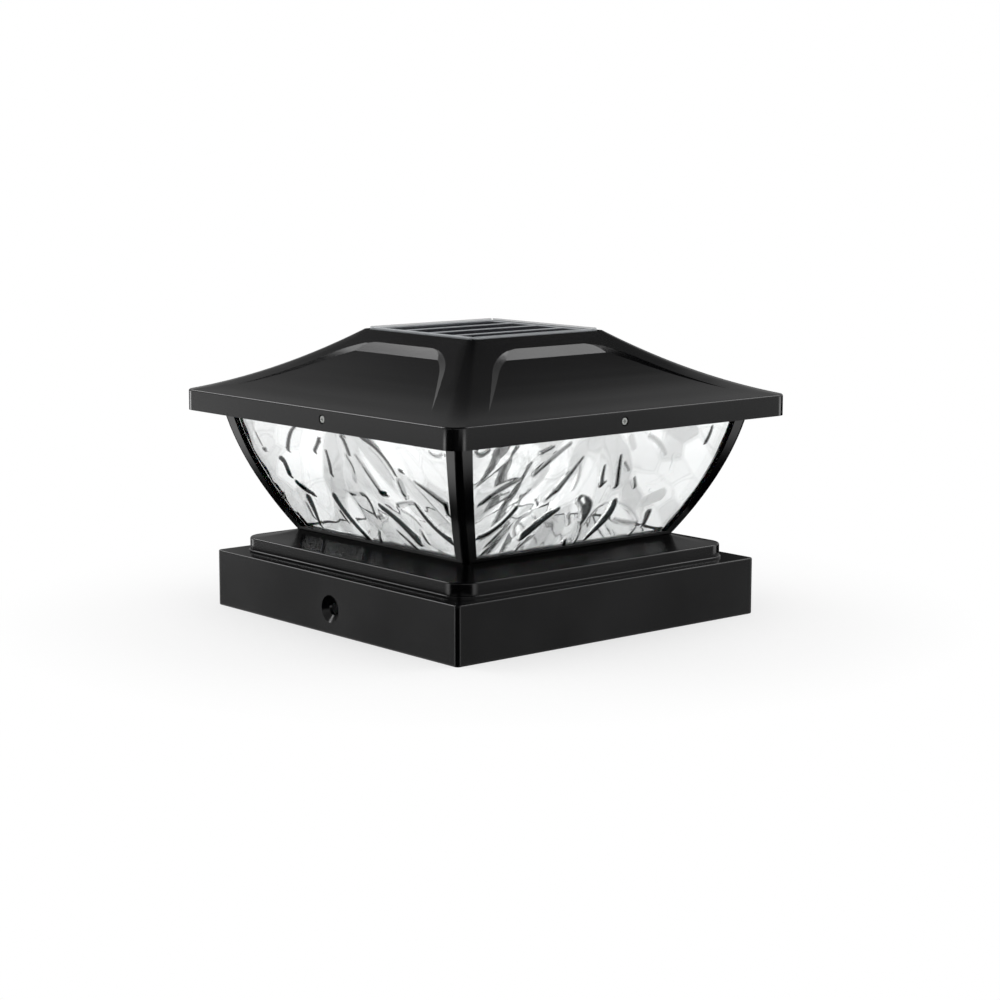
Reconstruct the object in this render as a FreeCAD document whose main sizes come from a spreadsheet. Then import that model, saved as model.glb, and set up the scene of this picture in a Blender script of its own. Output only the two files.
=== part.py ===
import FreeCAD, Part
import math
import os
import re
import Sketcher
from FreeCAD import Rotation, Vector

# Deck post cap light: a solar lantern that sits over the top of a square timber post.
# Millimetres, +Z up. The origin is the middle of the skirt's bottom edge, and the four
# flat sides look along +X, -X, +Y and -Y. The two post screw holes are in the Y sides.

doc = FreeCAD.newDocument("PostCapLight")
sheet = doc.addObject("Spreadsheet::Sheet", "Sizes")

# ---------------------------------------------------------------- driving dimensions

SIZES = (
    # post skirt
    ("base_half", 65.5, "half the width over the skirt"),
    ("skirt_top", 19.4, "height of the skirt"),
    ("skirt_wall", 2.5, "thickness of the skirt's sides"),
    ("skirt_corner", 1.5, "radius of the skirt's upright corners"),
    ("skirt_edge", 0.5, "rounding of the skirt's top and bottom edges"),
    ("deck_thick", 2.4, "deck that rests on the post"),
    ("deck_opening", 30.0, "half width of the hole in the deck"),
    ("deck_opening_corner", 6.0, "corner radius of that hole"),
    ("post_hole_height", 8.4, "height of the screw holes into the post"),
    ("post_hole_radius", 2.2, "radius of those holes"),
    ("post_sink_radius", 4.6, "radius of their countersinks"),
    ("post_sink_depth", 1.45, "depth of their countersinks"),
    # plinth
    ("skirt_ledge", 6.15, "top of the skirt left bare round the plinth"),
    ("plinth_corner", 7.5, "radius of the plinth's upright corners"),
    ("plinth_step", 5.0, "height of the plinth's upright face"),
    ("plinth_edge", 0.6, "rounding at the top of that face"),
    ("plinth_foot_out", 0.5, "bead round the plinth's foot, out from that face"),
    ("plinth_foot_tall", 0.8, "height of that bead"),
    ("plinth_foot_edge", 0.4, "rounding of that bead"),
    ("plinth_rise", 2.7, "height of the slope above it"),
    ("plinth_dish", 0.25, "how far the slope sags below straight"),
    ("plinth_top_half", 46.3, "half width at the top of the slope"),
    ("plinth_top_corner", 2.5, "corner radius at the top of the slope"),
    ("plinth_wall", 2.2, "wall of the plinth"),
    ("plinth_lip", 3.0, "from the top of the slope in to the plinth's opening"),
    # lantern frame
    ("shade_height", 43.6, "frame, from the plinth to the top of the soffit"),
    ("frame_margin", 0.43, "plinth left bare round the frame's foot"),
    ("eave_overhang", 9.15, "roof beyond the frame's head"),
    ("shade_bulge", 2.49, "how far the sides bow outwards half way up"),
    ("frame_corner", 1.8, "radius of the frame's upright corners"),
    ("frame_wall", 2.0, "thickness of the corner ribs and rails"),
    ("frame_inner_corner", 0.4, "radius inside the corner ribs"),
    ("leg_foot", 4.8, "width of a rib's leg at its foot"),
    ("leg_head", 6.0, "width of a rib's leg at its head"),
    ("foot_rail", 1.5, "height of the rail below the panes"),
    ("head_rail", 2.1, "height of the rail above the panes"),
    ("pane_seat", 0.5, "height of the ledge that the panes stand on"),
    ("spigot_depth", 2.5, "spigot that drops into the plinth"),
    ("ledge_width", 6.8, "from the plinth's opening in to the hole in the ledge"),
    ("soffit_thick", 1.6, "flange that closes the eaves"),
    ("boss_inset", 5.3, "frame screw bosses, in from the plinth's opening"),
    ("boss_radius", 3.2, "radius of those bosses"),
    # lantern inside
    ("pane_thick", 2.0, "thickness of the panes"),
    ("pane_gap", 0.2, "room between a pane and the ribs"),
    ("mitre_gap", 0.15, "half the gap between neighbouring panes"),
    ("gasket_thick", 0.5, "foam strip above the panes"),
    ("floor_thick", 1.5, "white floor of the lantern"),
    ("floor_fit", 0.3, "room round the floor"),
    # roof
    ("roof_half", 73.35, "half the width over the roof's rim"),
    ("roof_corner", 5.5, "radius of the rim's upright corners"),
    ("rim_drop", 0.7, "rim below the soffit"),
    ("rim_height", 7.05, "height of the rim"),
    ("rim_edge", 0.6, "rounding at the top of the rim"),
    ("roof_rise", 21.05, "height of the roof above the rim"),
    ("roof_sag", 2.4, "how far the slopes sag below straight"),
    ("panel_border", 1.4, "flat top left bare round the solar panel"),
    ("roof_top_corner", 2.6, "corner radius of the flat top"),
    ("roof_wall", 2.0, "thickness of the rim"),
    ("roof_skin", 2.2, "thickness of the slopes, measured upright"),
    ("roof_fit", 0.3, "room between the rim and what it covers"),
    ("recess_inset", 4.9, "top edge of each sunk field, out from the flat top"),
    ("recess_eave", 8.55, "foot of a sunk field, in from the rim"),
    ("hip_width", 10.06, "slope left bare beside a sunk field's top"),
    ("recess_flare", 0.92, "how fast that half width grows down the slope"),
    ("recess_corner", 9.0, "corner radius of a sunk field"),
    ("recess_bevel", 3.4, "width of its bevelled edge"),
    ("recess_depth", 1.0, "depth of a sunk field at its top"),
    ("rim_screw_rise", 3.8, "rim screws above the rim's bottom edge"),
    ("rim_screw_front", 7.2, "front and back rim screws, along the rim from its middle"),
    ("rim_screw_side", 2.9, "rim screws on the other two sides, from the rim's middle"),
    # solar panel
    ("panel_half", 28.0, "half width of the solar panel"),
    ("panel_corner", 2.6, "corner radius of the solar panel"),
    ("panel_fit", 0.2, "room round the solar panel"),
    ("panel_proud", 0.8, "solar panel above the flat of the roof"),
    ("pocket_floor", 1.8, "roof below the panel"),
    ("glue_thick", 0.6, "sealant under the panel"),
    ("backing_thick", 1.0, "panel backing board"),
    ("cell_margin", 0.4, "panel left bare beside the cells"),
    ("cell_gap", 0.4, "between one solar cell and the next"),
    ("cell_border", 2.0, "panel left bare at the ends of the cells"),
    ("cell_thick", 0.25, "thickness of a solar cell"),
    ("busbar_width", 2.2, "width of the silver contact strips"),
    ("busbar_thick", 0.1, "thickness of those strips"),
    ("busbar_inset", 1.1, "middle of an end strip, in from the ends of the cells"),
    ("cover_thick", 1.0, "clear cover over the cells"),
    ("cover_rim", 0.5, "edge of the cover that meets the backing"),
    ("cover_hollow", 0.4, "room in the cover for the cells"),
    # tray and electronics
    ("tray_thick", 1.6, "tray above the lantern"),
    ("lug_half", 11.3, "half length of a rim screw lug"),
    ("lug_deep", 4.5, "depth of a rim screw lug"),
    ("lug_rise", 2.8, "height of a rim screw lug"),
    ("soffit_screw_inset", 4.55, "soffit screws from the tray's edge"),
    ("soffit_boss_radius", 2.6, "bosses for the soffit screws"),
    ("soffit_boss_rise", 3.2, "height of those bosses"),
    ("diffuser_thick", 1.5, "opal diffuser"),
    ("diffuser_gap", 0.9, "room between the diffuser and the panes"),
    ("stake_inset", 10.2, "diffuser pins, in from the frame's head"),
    ("stake_radius", 1.15, "radius of those pins"),
    ("stake_head", 1.9, "radius of their melted heads"),
    ("standoff_rise", 1.2, "board above the tray"),
    ("standoff_radius", 2.4, "radius of the board's standoffs"),
    ("board_thick", 0.8, "control board"),
    ("board_half", 34.0, "half length of the control board"),
    ("board_front", 40.0, "board edge towards the front"),
    ("board_back", 6.0, "board edge towards the battery"),
    ("board_screw_x", 31.0, "board screws from the middle"),
    ("board_screw_front", 37.0, "front board screws"),
    ("board_screw_back", 3.0, "back board screws"),
    ("tongue_half", 5.0, "half width of the board's tongue"),
    ("window_half", 27.5, "half length of the light window in the tray"),
    ("window_front", 34.0, "front edge of that window"),
    ("window_back", 2.0, "back edge of that window"),
    ("led_pitch_x", 16.0, "between lamps along the board"),
    ("led_pitch_y", 20.0, "between the two rows of lamps"),
    ("led_row", 18.0, "middle of the two rows"),
    ("led_long", 3.5, "length of a lamp chip"),
    ("led_wide", 2.8, "width of a lamp chip"),
    ("led_tall", 0.9, "height of a lamp chip"),
    ("chip_x", -14.0, "controller chip, from the middle"),
    ("chip_y", -31.0, "controller chip, from the middle towards the back"),
    ("chip_long", 6.0, "length of the controller chip"),
    ("chip_wide", 4.0, "width of the controller chip"),
    ("chip_tall", 1.5, "height of the controller chip"),
    ("chip_leg", 1.2, "how far the chip's legs reach out"),
    ("chip_leg_pitch", 1.27, "between the chip's legs"),
    ("chip_leg_wide", 0.45, "width and thickness of a leg"),
    ("inductor_x", 14.0, "inductor, from the middle"),
    ("inductor_y", -29.0, "inductor, from the middle towards the back"),
    ("inductor_radius", 3.0, "radius of the inductor"),
    ("inductor_tall", 4.2, "height of the inductor"),
    ("inductor_flange", 0.9, "thickness of the inductor's two flanges"),
    ("capacitor_x", 25.0, "capacitor, from the middle"),
    ("capacitor_y", -17.0, "capacitor, from the middle towards the back"),
    ("capacitor_radius", 2.5, "radius of the capacitor"),
    ("capacitor_tall", 6.8, "height of the capacitor"),
    # push button
    ("button_inset", 2.4, "middle of the button from the frame's side"),
    ("button_place", 18.0, "middle of the button along that side"),
    ("button_half_wide", 2.0, "half width of the button"),
    ("button_half_long", 5.0, "half length of the button"),
    ("button_gap", 0.15, "room round the button"),
    ("button_proud", 0.6, "button below the soffit"),
    ("button_travel", 0.6, "how far the button moves"),
    ("collar_edge", 0.4, "collar that keeps the button in"),
    ("collar_thick", 0.6, "thickness of that collar"),
    ("switch_half", 2.0, "half width of the switch"),
    ("switch_tall", 1.5, "height of the switch"),
    ("plunger_radius", 1.05, "radius of the switch plunger"),
    ("plunger_fit", 0.08, "room round the plunger"),
    ("dome_thick", 0.12, "thickness of the snap dome"),
    # battery
    ("battery_radius", 7.1, "radius of the battery"),
    ("battery_long", 48.8, "length of the battery's can"),
    ("nub_radius", 2.7, "radius of its positive end"),
    ("nub_long", 1.4, "length of its positive end"),
    ("battery_place", 22.0, "battery behind the middle"),
    ("pad_thick", 0.8, "foam tape under the battery holder"),
    ("holder_wall", 1.4, "walls of the battery holder"),
    ("holder_fit", 0.3, "room round the battery"),
    ("holder_rise", 2.2, "holder walls above the battery's axis"),
    ("contact_thick", 0.4, "thickness of the battery contacts"),
    ("contact_half", 5.5, "half width of the battery contacts"),
    ("spring_room", 8.0, "length of the battery spring"),
    ("spring_wire", 0.4, "radius of the spring's wire"),
    ("spring_foot", 4.6, "coil radius at the contact"),
    ("spring_tip", 2.8, "coil radius at the battery"),
    ("spring_turns", 4.0, "turns of the battery spring"),
    # wires and screws
    ("wire_radius", 0.6, "radius of the wires"),
    ("wire_hole", 3.0, "hole for the panel wires in the roof"),
    ("wire_apart", 1.6, "panel wires from the middle"),
    ("screw_fit", 0.05, "room round a screw in its thread"),
)

for row, (alias, value, note) in enumerate(SIZES, start=1):
    sheet.set("A%d" % row, note)
    sheet.set("B%d" % row, str(value))
    sheet.setAlias("B%d" % row, alias)
doc.recompute()

ALIASES = {alias for alias, value, note in SIZES}

# Heights and places that follow from the driving dimensions.
RULES = {
    "plinth_half": "base_half - skirt_ledge",
    "plinth_opening": "plinth_top_half - plinth_lip",
    "ledge_opening": "plinth_opening - ledge_width",
    "boss_place": "plinth_opening - boss_inset",
    "shade_foot_half": "plinth_top_half - frame_margin",
    "shade_head_half": "roof_half - eave_overhang",
    "stake_place": "shade_head_half - stake_inset",
    "roof_top_half": "panel_half + panel_border",
    "recess_start": "roof_top_half + recess_inset",
    "recess_run": "roof_half - recess_eave - recess_start",
    "recess_half": "recess_start - hip_width",
    "cell_pitch": "(panel_half - cell_margin) / 2",
    "cell_width": "cell_pitch - cell_gap",
    "cell_length": "2 * (panel_half - cell_border)",
    "busbar_end": "cell_length / 2 - busbar_inset",
    "busbar_pitch": "(2 * cell_pitch - cell_gap / 2 - busbar_width / 2) / 2",
    "deck_under": "skirt_top - deck_thick",
    "slope_foot": "skirt_top + plinth_step",
    "frame_foot": "slope_foot + plinth_rise",
    "pane_foot": "frame_foot + pane_seat",
    "frame_top": "frame_foot + shade_height",
    "soffit_under": "frame_top - soffit_thick",
    "pane_top": "frame_top - gasket_thick",
    "rim_bottom": "soffit_under - rim_drop",
    "rim_top": "rim_bottom + rim_height",
    "roof_top": "rim_top + roof_rise",
    "roof_span": "roof_half - roof_top_half",
    "eave_half": "roof_half - roof_wall",
    "tray_half": "eave_half - roof_fit",
    "tray_corner": "roof_corner - roof_wall - roof_fit",
    "tray_top": "frame_top + tray_thick",
    "pocket_bottom": "panel_under - glue_thick",
    "panel_under": "cover_top - cover_thick - backing_thick",
    "cover_top": "roof_top + panel_proud",
    "cell_foot": "panel_under + backing_thick",
    "busbar_foot": "cell_foot + cell_thick",
    "roof_ceiling": "pocket_bottom - pocket_floor",
    "board_under": "tray_top + standoff_rise",
    "board_top": "board_under + board_thick",
    "soffit_screw": "tray_half - soffit_screw_inset",
    "rim_screw": "rim_bottom + rim_screw_rise",
    "button_x": "-(shade_head_half + button_inset)",
    "collar_foot": "frame_top + 0.05",
    "switch_foot": "board_under - switch_tall",
    "plunger_tip": "switch_foot + switch_tall - 0.85",
    "holder_foot": "tray_top + pad_thick",
    "battery_axis": "holder_foot + holder_wall + holder_fit + battery_radius",
    "holder_half": "holder_room + holder_wall",
    "holder_room": "(battery_long + nub_long + spring_room) / 2 + contact_thick + 0.1",
    "holder_side": "battery_radius + holder_fit",
    "contact_plus": "holder_room - 0.1 - contact_thick",
    "battery_foot": "contact_plus - nub_long - battery_long",
    "boss_pilot": "1.45 + screw_fit",
}


def ex(rule):
    """The expression for a rule: sizes become cells, and named rules are written out."""
    def swap(found):
        word = found.group(0)
        if word in RULES:
            return "(" + ex(RULES[word]) + ")"
        if word in ALIASES:
            return "Sizes." + word
        return word
    return re.sub(r"[a-z_]+", swap, str(rule))


def num(rule):
    """The value of a rule, as a plain number."""
    return float(sheet.evalExpression(ex(rule)))


def bind(item, path, rule):
    """Ties one property of an object to a rule."""
    item.setExpression(path, ex(rule))


def place(item, x="0", y="0", z="0"):
    """Ties an object's place to rules."""
    for axis, rule in zip("xyz", (x, y, z)):
        bind(item, "Placement.Base." + axis, rule)
    return item


# ---------------------------------------------------------------- sketches and features

def new_body(name):
    body = doc.addObject("PartDesign::Body", name)
    body.Label = name
    return body


def new_sketch(body, height="0", role="XY_Plane"):
    """An empty sketch on one of the body's own planes, moved out along its normal."""
    sketch = body.newObject("Sketcher::SketchObject", "Outline")
    plane = next(item for item in body.Origin.OriginFeatures if item.Role == role)
    sketch.AttachmentSupport = [(plane, "")]
    sketch.MapMode = "FlatFace"
    bind(sketch, "AttachmentOffset.Base.z", height)
    return sketch


def hold(sketch, kind, place_rules):
    """Ties a point (geometry, position) to an X rule and a Y rule, or a circle to a radius."""
    if kind == "Radius":
        geometry, rule = place_rules
        index = sketch.addConstraint(Sketcher.Constraint("Radius", geometry, num(rule)))
        bind(sketch, "Constraints[%d]" % index, rule)
        return
    geometry, position, x, y = place_rules
    for axis, rule in (("DistanceX", x), ("DistanceY", y)):
        constraint = Sketcher.Constraint(axis, -1, 1, geometry, position, num(rule))
        index = sketch.addConstraint(constraint)
        bind(sketch, "Constraints[%d]" % index, rule)


def polygon(sketch, corners):
    """A closed outline of straight lines through (x rule, y rule) corners."""
    points = [Vector(num(x), num(y), 0) for x, y in corners]
    first = sketch.GeometryCount
    for start, end in zip(points, points[1:] + points[:1]):
        sketch.addGeometry(Part.LineSegment(start, end), False)
    for index, (x, y) in enumerate(corners):
        following = first + (index + 1) % len(corners)
        sketch.addConstraint(Sketcher.Constraint("Coincident", first + index, 2, following, 1))
        hold(sketch, "Point", (first + index, 1, x, y))
    return sketch


def rectangle(sketch, x_low, x_high, y_low, y_high):
    corners = ((x_low, y_low), (x_high, y_low), (x_high, y_high), (x_low, y_high))
    return polygon(sketch, corners)


def rounded(sketch, half_x, half_y, corner, x="0", y="0"):
    """A rectangle with round corners about (x, y): four arcs joined by tangent lines."""
    radius = num(corner)
    first = sketch.GeometryCount
    turns = ((1, 1), (-1, 1), (-1, -1), (1, -1))
    arcs = []
    for index, (side_x, side_y) in enumerate(turns):
        centre_x = "%s + %d * (%s - (%s))" % (x, side_x, half_x, corner)
        centre_y = "%s + %d * (%s - (%s))" % (y, side_y, half_y, corner)
        circle = Part.Circle(Vector(num(centre_x), num(centre_y), 0), Vector(0, 0, 1), radius)
        arc = Part.ArcOfCircle(circle, index * math.pi / 2, (index + 1) * math.pi / 2)
        arcs.append((arc, centre_x, centre_y))
    for index, (arc, centre_x, centre_y) in enumerate(arcs):
        sketch.addGeometry(arc, False)
        following = arcs[(index + 1) % 4][0]
        sketch.addGeometry(Part.LineSegment(arc.EndPoint, following.StartPoint), False)
    for index, (arc, centre_x, centre_y) in enumerate(arcs):
        this_arc = first + 2 * index
        next_arc = first + (2 * index + 2) % 8
        line = this_arc + 1
        hold(sketch, "Point", (this_arc, 3, centre_x, centre_y))
        hold(sketch, "Radius", (this_arc, corner))
        sketch.addConstraint(Sketcher.Constraint("Tangent", this_arc, 2, line, 1))
        sketch.addConstraint(Sketcher.Constraint("Tangent", line, 2, next_arc, 1))
    return sketch


def square(body, height, half, corner):
    """A sketch of a square with round corners about the Z axis."""
    return rounded(new_sketch(body, height), half, half, corner)


def circles(sketch, centres, radius):
    for x, y in centres:
        centre = Vector(num(x), num(y), 0)
        circle = sketch.addGeometry(Part.Circle(centre, Vector(0, 0, 1), num(radius)), False)
        hold(sketch, "Point", (circle, 3, x, y))
        hold(sketch, "Radius", (circle, radius))
    return sketch


def pad(body, sketch, length):
    feature = body.newObject("PartDesign::Pad", "Pad")
    feature.Profile = sketch
    bind(feature, "Length", length)
    sketch.Visibility = False
    return feature


def pocket(body, sketch, length, upwards=False, both_ways=False):
    """A pocket that cuts down from its sketch, up from it, or both ways."""
    feature = body.newObject("PartDesign::Pocket", "Pocket")
    feature.Profile = sketch
    feature.Reversed = upwards
    feature.Midplane = both_ways
    bind(feature, "Length", length)
    return feature


def loft(body, sketches, cut=False, straight=False):
    kind = "PartDesign::SubtractiveLoft" if cut else "PartDesign::AdditiveLoft"
    feature = body.newObject(kind, "Loft")
    feature.Profile = sketches[0]
    feature.Sections = sketches[1:]
    feature.Ruled = straight
    return feature


def edge_names(shape, wanted):
    """Names of the edges for which wanted(edge) holds."""
    names = []
    for index, edge in enumerate(shape.Edges, start=1):
        if wanted(edge):
            names.append("Edge%d" % index)
    return names


def level_edge(height, reach):
    """Tests for an edge at one height that lies at least so far out from the Z axis."""
    def test(edge):
        box = edge.BoundBox
        flat = abs(box.ZMin - height) < 0.01 and abs(box.ZMax - height) < 0.01
        middle = edge.valueAt((edge.FirstParameter + edge.LastParameter) / 2)
        return flat and max(abs(middle.x), abs(middle.y)) > reach
    return test


def fillet(body, wanted, radius):
    doc.recompute()
    tip = body.Tip
    names = edge_names(tip.Shape, wanted)
    feature = body.newObject("PartDesign::Fillet", "Fillet")
    feature.Base = (tip, names)
    bind(feature, "Radius", radius)
    return feature


# ---------------------------------------------------------------- primitives and booleans

def block(x, y, z):
    """A box between a low and a high rule on each axis."""
    box = doc.addObject("Part::Box", "Block")
    for size, axis, (low, high) in zip(("Length", "Width", "Height"), "xyz", (x, y, z)):
        bind(box, size, "(%s) - (%s)" % (high, low))
        bind(box, "Placement.Base." + axis, low)
    return box


TURNS = {
    "+z": Rotation(Vector(0, 0, 1), 0),
    "-z": Rotation(Vector(1, 0, 0), 180),
    "+x": Rotation(Vector(0, 1, 0), 90),
    "-x": Rotation(Vector(0, 1, 0), -90),
    "+y": Rotation(Vector(1, 0, 0), -90),
    "-y": Rotation(Vector(1, 0, 0), 90),
}


def turned(item, x, y, z, way):
    """Ties an object's place to rules, with its own +Z turned to point the given way."""
    item.Placement.Rotation = TURNS[way]
    return place(item, x, y, z)


def rod(x, y, z, radius, length, way="+z"):
    cylinder = doc.addObject("Part::Cylinder", "Rod")
    bind(cylinder, "Radius", radius)
    bind(cylinder, "Height", length)
    return turned(cylinder, x, y, z, way)


def cone(x, y, z, wide, narrow, length, way="+z"):
    item = doc.addObject("Part::Cone", "Cone")
    bind(item, "Radius1", wide)
    bind(item, "Radius2", narrow)
    bind(item, "Height", length)
    return turned(item, x, y, z, way)


def fuse(items, name="Fusion"):
    item = doc.addObject("Part::MultiFuse", name)
    item.Shapes = items
    item.Label = name
    return item


def cut(base, tools, name="Difference"):
    item = doc.addObject("Part::Cut", name)
    item.Base = base
    item.Tool = tools[0] if len(tools) == 1 else fuse(tools)
    item.Label = name
    return item


def group(items, name):
    item = doc.addObject("Part::Compound", name)
    item.Links = items
    item.Label = name
    return item


SCREWS = {
    # shank radius, length, head radius, head height, sunk head
    "rim": (0.75, 5.4, 1.1, 0.9, False),
    "soffit": (0.85, 4.2, 1.9, 1.05, True),
    "skirt": (1.45, 8.4, 2.75, 1.4, True),
    "board": (0.95, 2.9, 1.8, 1.2, False),
}


def screw(kind, x, y, z, way):
    """A screw whose head seats at (x, y, z) and whose shank points against the given way."""
    shank_radius, length, head_radius, head_tall, sunk = SCREWS[kind]
    tip = shank_radius * 1.2
    shank = rod("0", "0", -length + tip, shank_radius, length - tip)
    point = cone("0", "0", -length, 0.15, shank_radius, tip)
    if sunk:
        head = cone("0", "0", -head_tall, shank_radius, head_radius, head_tall)
        face = 0
    else:
        head = rod("0", "0", "0", head_radius, head_tall)
        face = head_tall
    slot = 0.14 * head_radius
    arm = 0.62 * head_radius
    deep = 0.45 * head_tall
    cross = [
        block((-arm, arm), (-slot, slot), (face - deep, face + 1)),
        block((-slot, slot), (-arm, arm), (face - deep, face + 1)),
    ]
    item = cut(fuse([shank, point, head]), cross)
    return turned(item, x, y, z, way)


def four_corners(rule):
    """The four (x, y) rules at the corners of a square of that half width."""
    return [("%d * (%s)" % (a, rule), "%d * (%s)" % (b, rule)) for a in (-1, 1) for b in (-1, 1)]


def rim_screws_at(depth):
    """The (x, y) rules of the four rim screws, that far out from the Z axis."""
    half = "(%s)" % depth
    return (("rim_screw_front", "-" + half), (half, "-rim_screw_side"),
            ("-rim_screw_front", half), ("-" + half, "rim_screw_side"))


OUTWARD = ("-y", "+x", "+y", "-x")
INWARD = ("+y", "-x", "-y", "+x")

finished = []


def finish(item, name):
    """Names a finished sub-part."""
    item.Label = name
    finished.append(item)
    return item


# ---------------------------------------------------------------- post skirt

def make_post_skirt():
    body = new_body("SkirtBody")
    pad(body, square(body, "0", "base_half", "skirt_corner"), "skirt_top")
    height = num("skirt_top")
    reach = num("base_half") - num("skirt_corner")
    top_edge = level_edge(height, reach)
    bottom_edge = level_edge(0, reach)
    fillet(body, lambda edge: top_edge(edge) or bottom_edge(edge), "skirt_edge")
    socket = square(body, "0", "base_half - skirt_wall", "skirt_corner")
    pocket(body, socket, "deck_under", upwards=True)
    opening = square(body, "skirt_top", "deck_opening", "deck_opening_corner")
    pocket(body, opening, "deck_thick + 1")
    tools = []
    for side, way in (("-1", "+y"), ("1", "-y")):
        face = side + " * base_half"
        tools.append(rod("0", face, "post_hole_height", "post_hole_radius", "skirt_wall + 1", way))
        sink = cone("0", face, "post_hole_height", "post_sink_radius", "post_hole_radius",
                    "post_sink_depth", way)
        tools.append(sink)
    for x, y in four_corners("boss_place"):
        tools.append(rod(x, y, "deck_under - 1", "1.45 + 0.25", "deck_thick + 2"))
        tools.append(cone(x, y, "deck_under", "2.75 + 0.1", "1.45 + 0.1", "1.45"))
    finish(cut(body, tools), "post_skirt")


# ---------------------------------------------------------------- plinth

def make_plinth():
    body = new_body("plinth")
    bead = square(body, "skirt_top", "plinth_half + plinth_foot_out",
                  "plinth_corner + plinth_foot_out")
    pad(body, bead, "plinth_foot_tall")
    bead_top = num("skirt_top + plinth_foot_tall")
    fillet(body, level_edge(bead_top, num("plinth_half - plinth_corner")), "plinth_foot_edge")
    pad(body, square(body, "skirt_top", "plinth_half", "plinth_corner"), "plinth_step")
    reach = num("plinth_half") - num("plinth_corner")
    fillet(body, level_edge(num("slope_foot"), reach), "plinth_edge")
    shoulder = "plinth_half - plinth_edge"
    shoulder_corner = "plinth_corner - plinth_edge"
    slope = [
        square(body, "slope_foot", shoulder, shoulder_corner),
        square(body, "slope_foot + plinth_rise / 2 - plinth_dish",
               "(%s + plinth_top_half) / 2" % shoulder,
               "(%s + plinth_top_corner) / 2" % shoulder_corner),
        square(body, "frame_foot", "plinth_top_half", "plinth_top_corner"),
    ]
    loft(body, slope)
    inside = "plinth_half - plinth_wall"
    inside_corner = "plinth_corner - plinth_wall"
    ceiling = "slope_foot - plinth_wall"
    pocket(body, square(body, "skirt_top", inside, inside_corner), "plinth_step - plinth_wall",
           upwards=True)
    hollow = [
        square(body, ceiling, inside, inside_corner),
        square(body, "frame_foot - spigot_depth", "plinth_opening + plinth_wall",
               "plinth_top_corner"),
    ]
    loft(body, hollow, cut=True)
    opening = square(body, "frame_foot + 1", "plinth_opening", "plinth_top_corner")
    pocket(body, opening, "plinth_step + plinth_rise + 2")
    finish(body, "plinth")


# ---------------------------------------------------------------- lantern frame and panes

def frame_half(run):
    """Half width of the frame's outside, where run goes from 0 at its foot to 1 at its top."""
    straight = "shade_foot_half + (shade_head_half - shade_foot_half) * (%s)" % run
    return "(%s + 4 * shade_bulge * (%s) * (1 - (%s)))" % (straight, run, run)


def frame_run(height):
    return "((%s) - frame_foot) / shade_height" % height


def steps(count):
    return [index / count for index in range(count + 1)]


def between(low, high, share):
    return "(%s) + ((%s) - (%s)) * %.6f" % (low, high, low, share)


def make_lantern_frame():
    body = new_body("FrameBody")
    shell = []
    inside = []
    for share in steps(6):
        height = between("frame_foot", "frame_top", share)
        half = frame_half(share)
        shell.append(square(body, height, half, "frame_corner"))
        inside.append(square(body, height, half + " - frame_wall", "frame_inner_corner"))
    loft(body, shell)
    pad(body, square(body, "soffit_under", "tray_half", "tray_corner"), "soffit_thick")
    loft(body, inside, cut=True)

    beyond = "(roof_half + 5)"
    sill = "frame_foot + foot_rail"
    head = "soffit_under - head_rail"
    for along_x in (True, False):
        window = []
        for share in steps(5):
            height = between(sill, head, share)
            run = frame_run(height)
            leg = "leg_foot + (leg_head - leg_foot) * (%s)" % run
            edge = "(%s - (%s))" % (frame_half(run), leg)
            half_x, half_y = (edge, beyond) if along_x else (beyond, edge)
            outline = new_sketch(body, height)
            window.append(rectangle(outline, "-" + half_x, half_x, "-" + half_y, half_y))
        loft(body, window, cut=True)

    ring = square(body, "frame_foot", "shade_foot_half - frame_wall / 2", "frame_corner / 2")
    pad(body, ring, "pane_seat")
    spigot = square(body, "frame_foot - spigot_depth", "plinth_opening - floor_fit",
                    "plinth_top_corner")
    pad(body, spigot, "spigot_depth + pane_seat")
    opening = square(body, "pane_foot + 1", "ledge_opening", "deck_opening_corner / 2")
    pocket(body, opening, "spigot_depth + 2")
    bosses = circles(new_sketch(body, "skirt_top + 0.1"), four_corners("boss_place"),
                     "boss_radius")
    pad(body, bosses, "pane_foot - skirt_top - 0.1")
    pilots = circles(new_sketch(body, "skirt_top"), four_corners("boss_place"), "boss_pilot")
    pocket(body, pilots, "frame_foot - skirt_top - 1", upwards=True)

    button_hole = rounded(new_sketch(body, "frame_top + 1"), "(button_half_wide + button_gap)",
                          "(button_half_long + button_gap)", "button_half_wide + button_gap - 0.05",
                          "button_x", "-button_place")
    pocket(body, button_hole, "soffit_thick + 2")
    tools = []
    for x, y in four_corners("soffit_screw"):
        tools.append(rod(x, y, "soffit_under - 1", "0.85 + 0.25", "soffit_thick + 2"))
        tools.append(cone(x, y, "soffit_under", "1.9 + 0.1", "0.85 + 0.1", "1.1"))
    finish(cut(body, tools), "lantern_frame")


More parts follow.
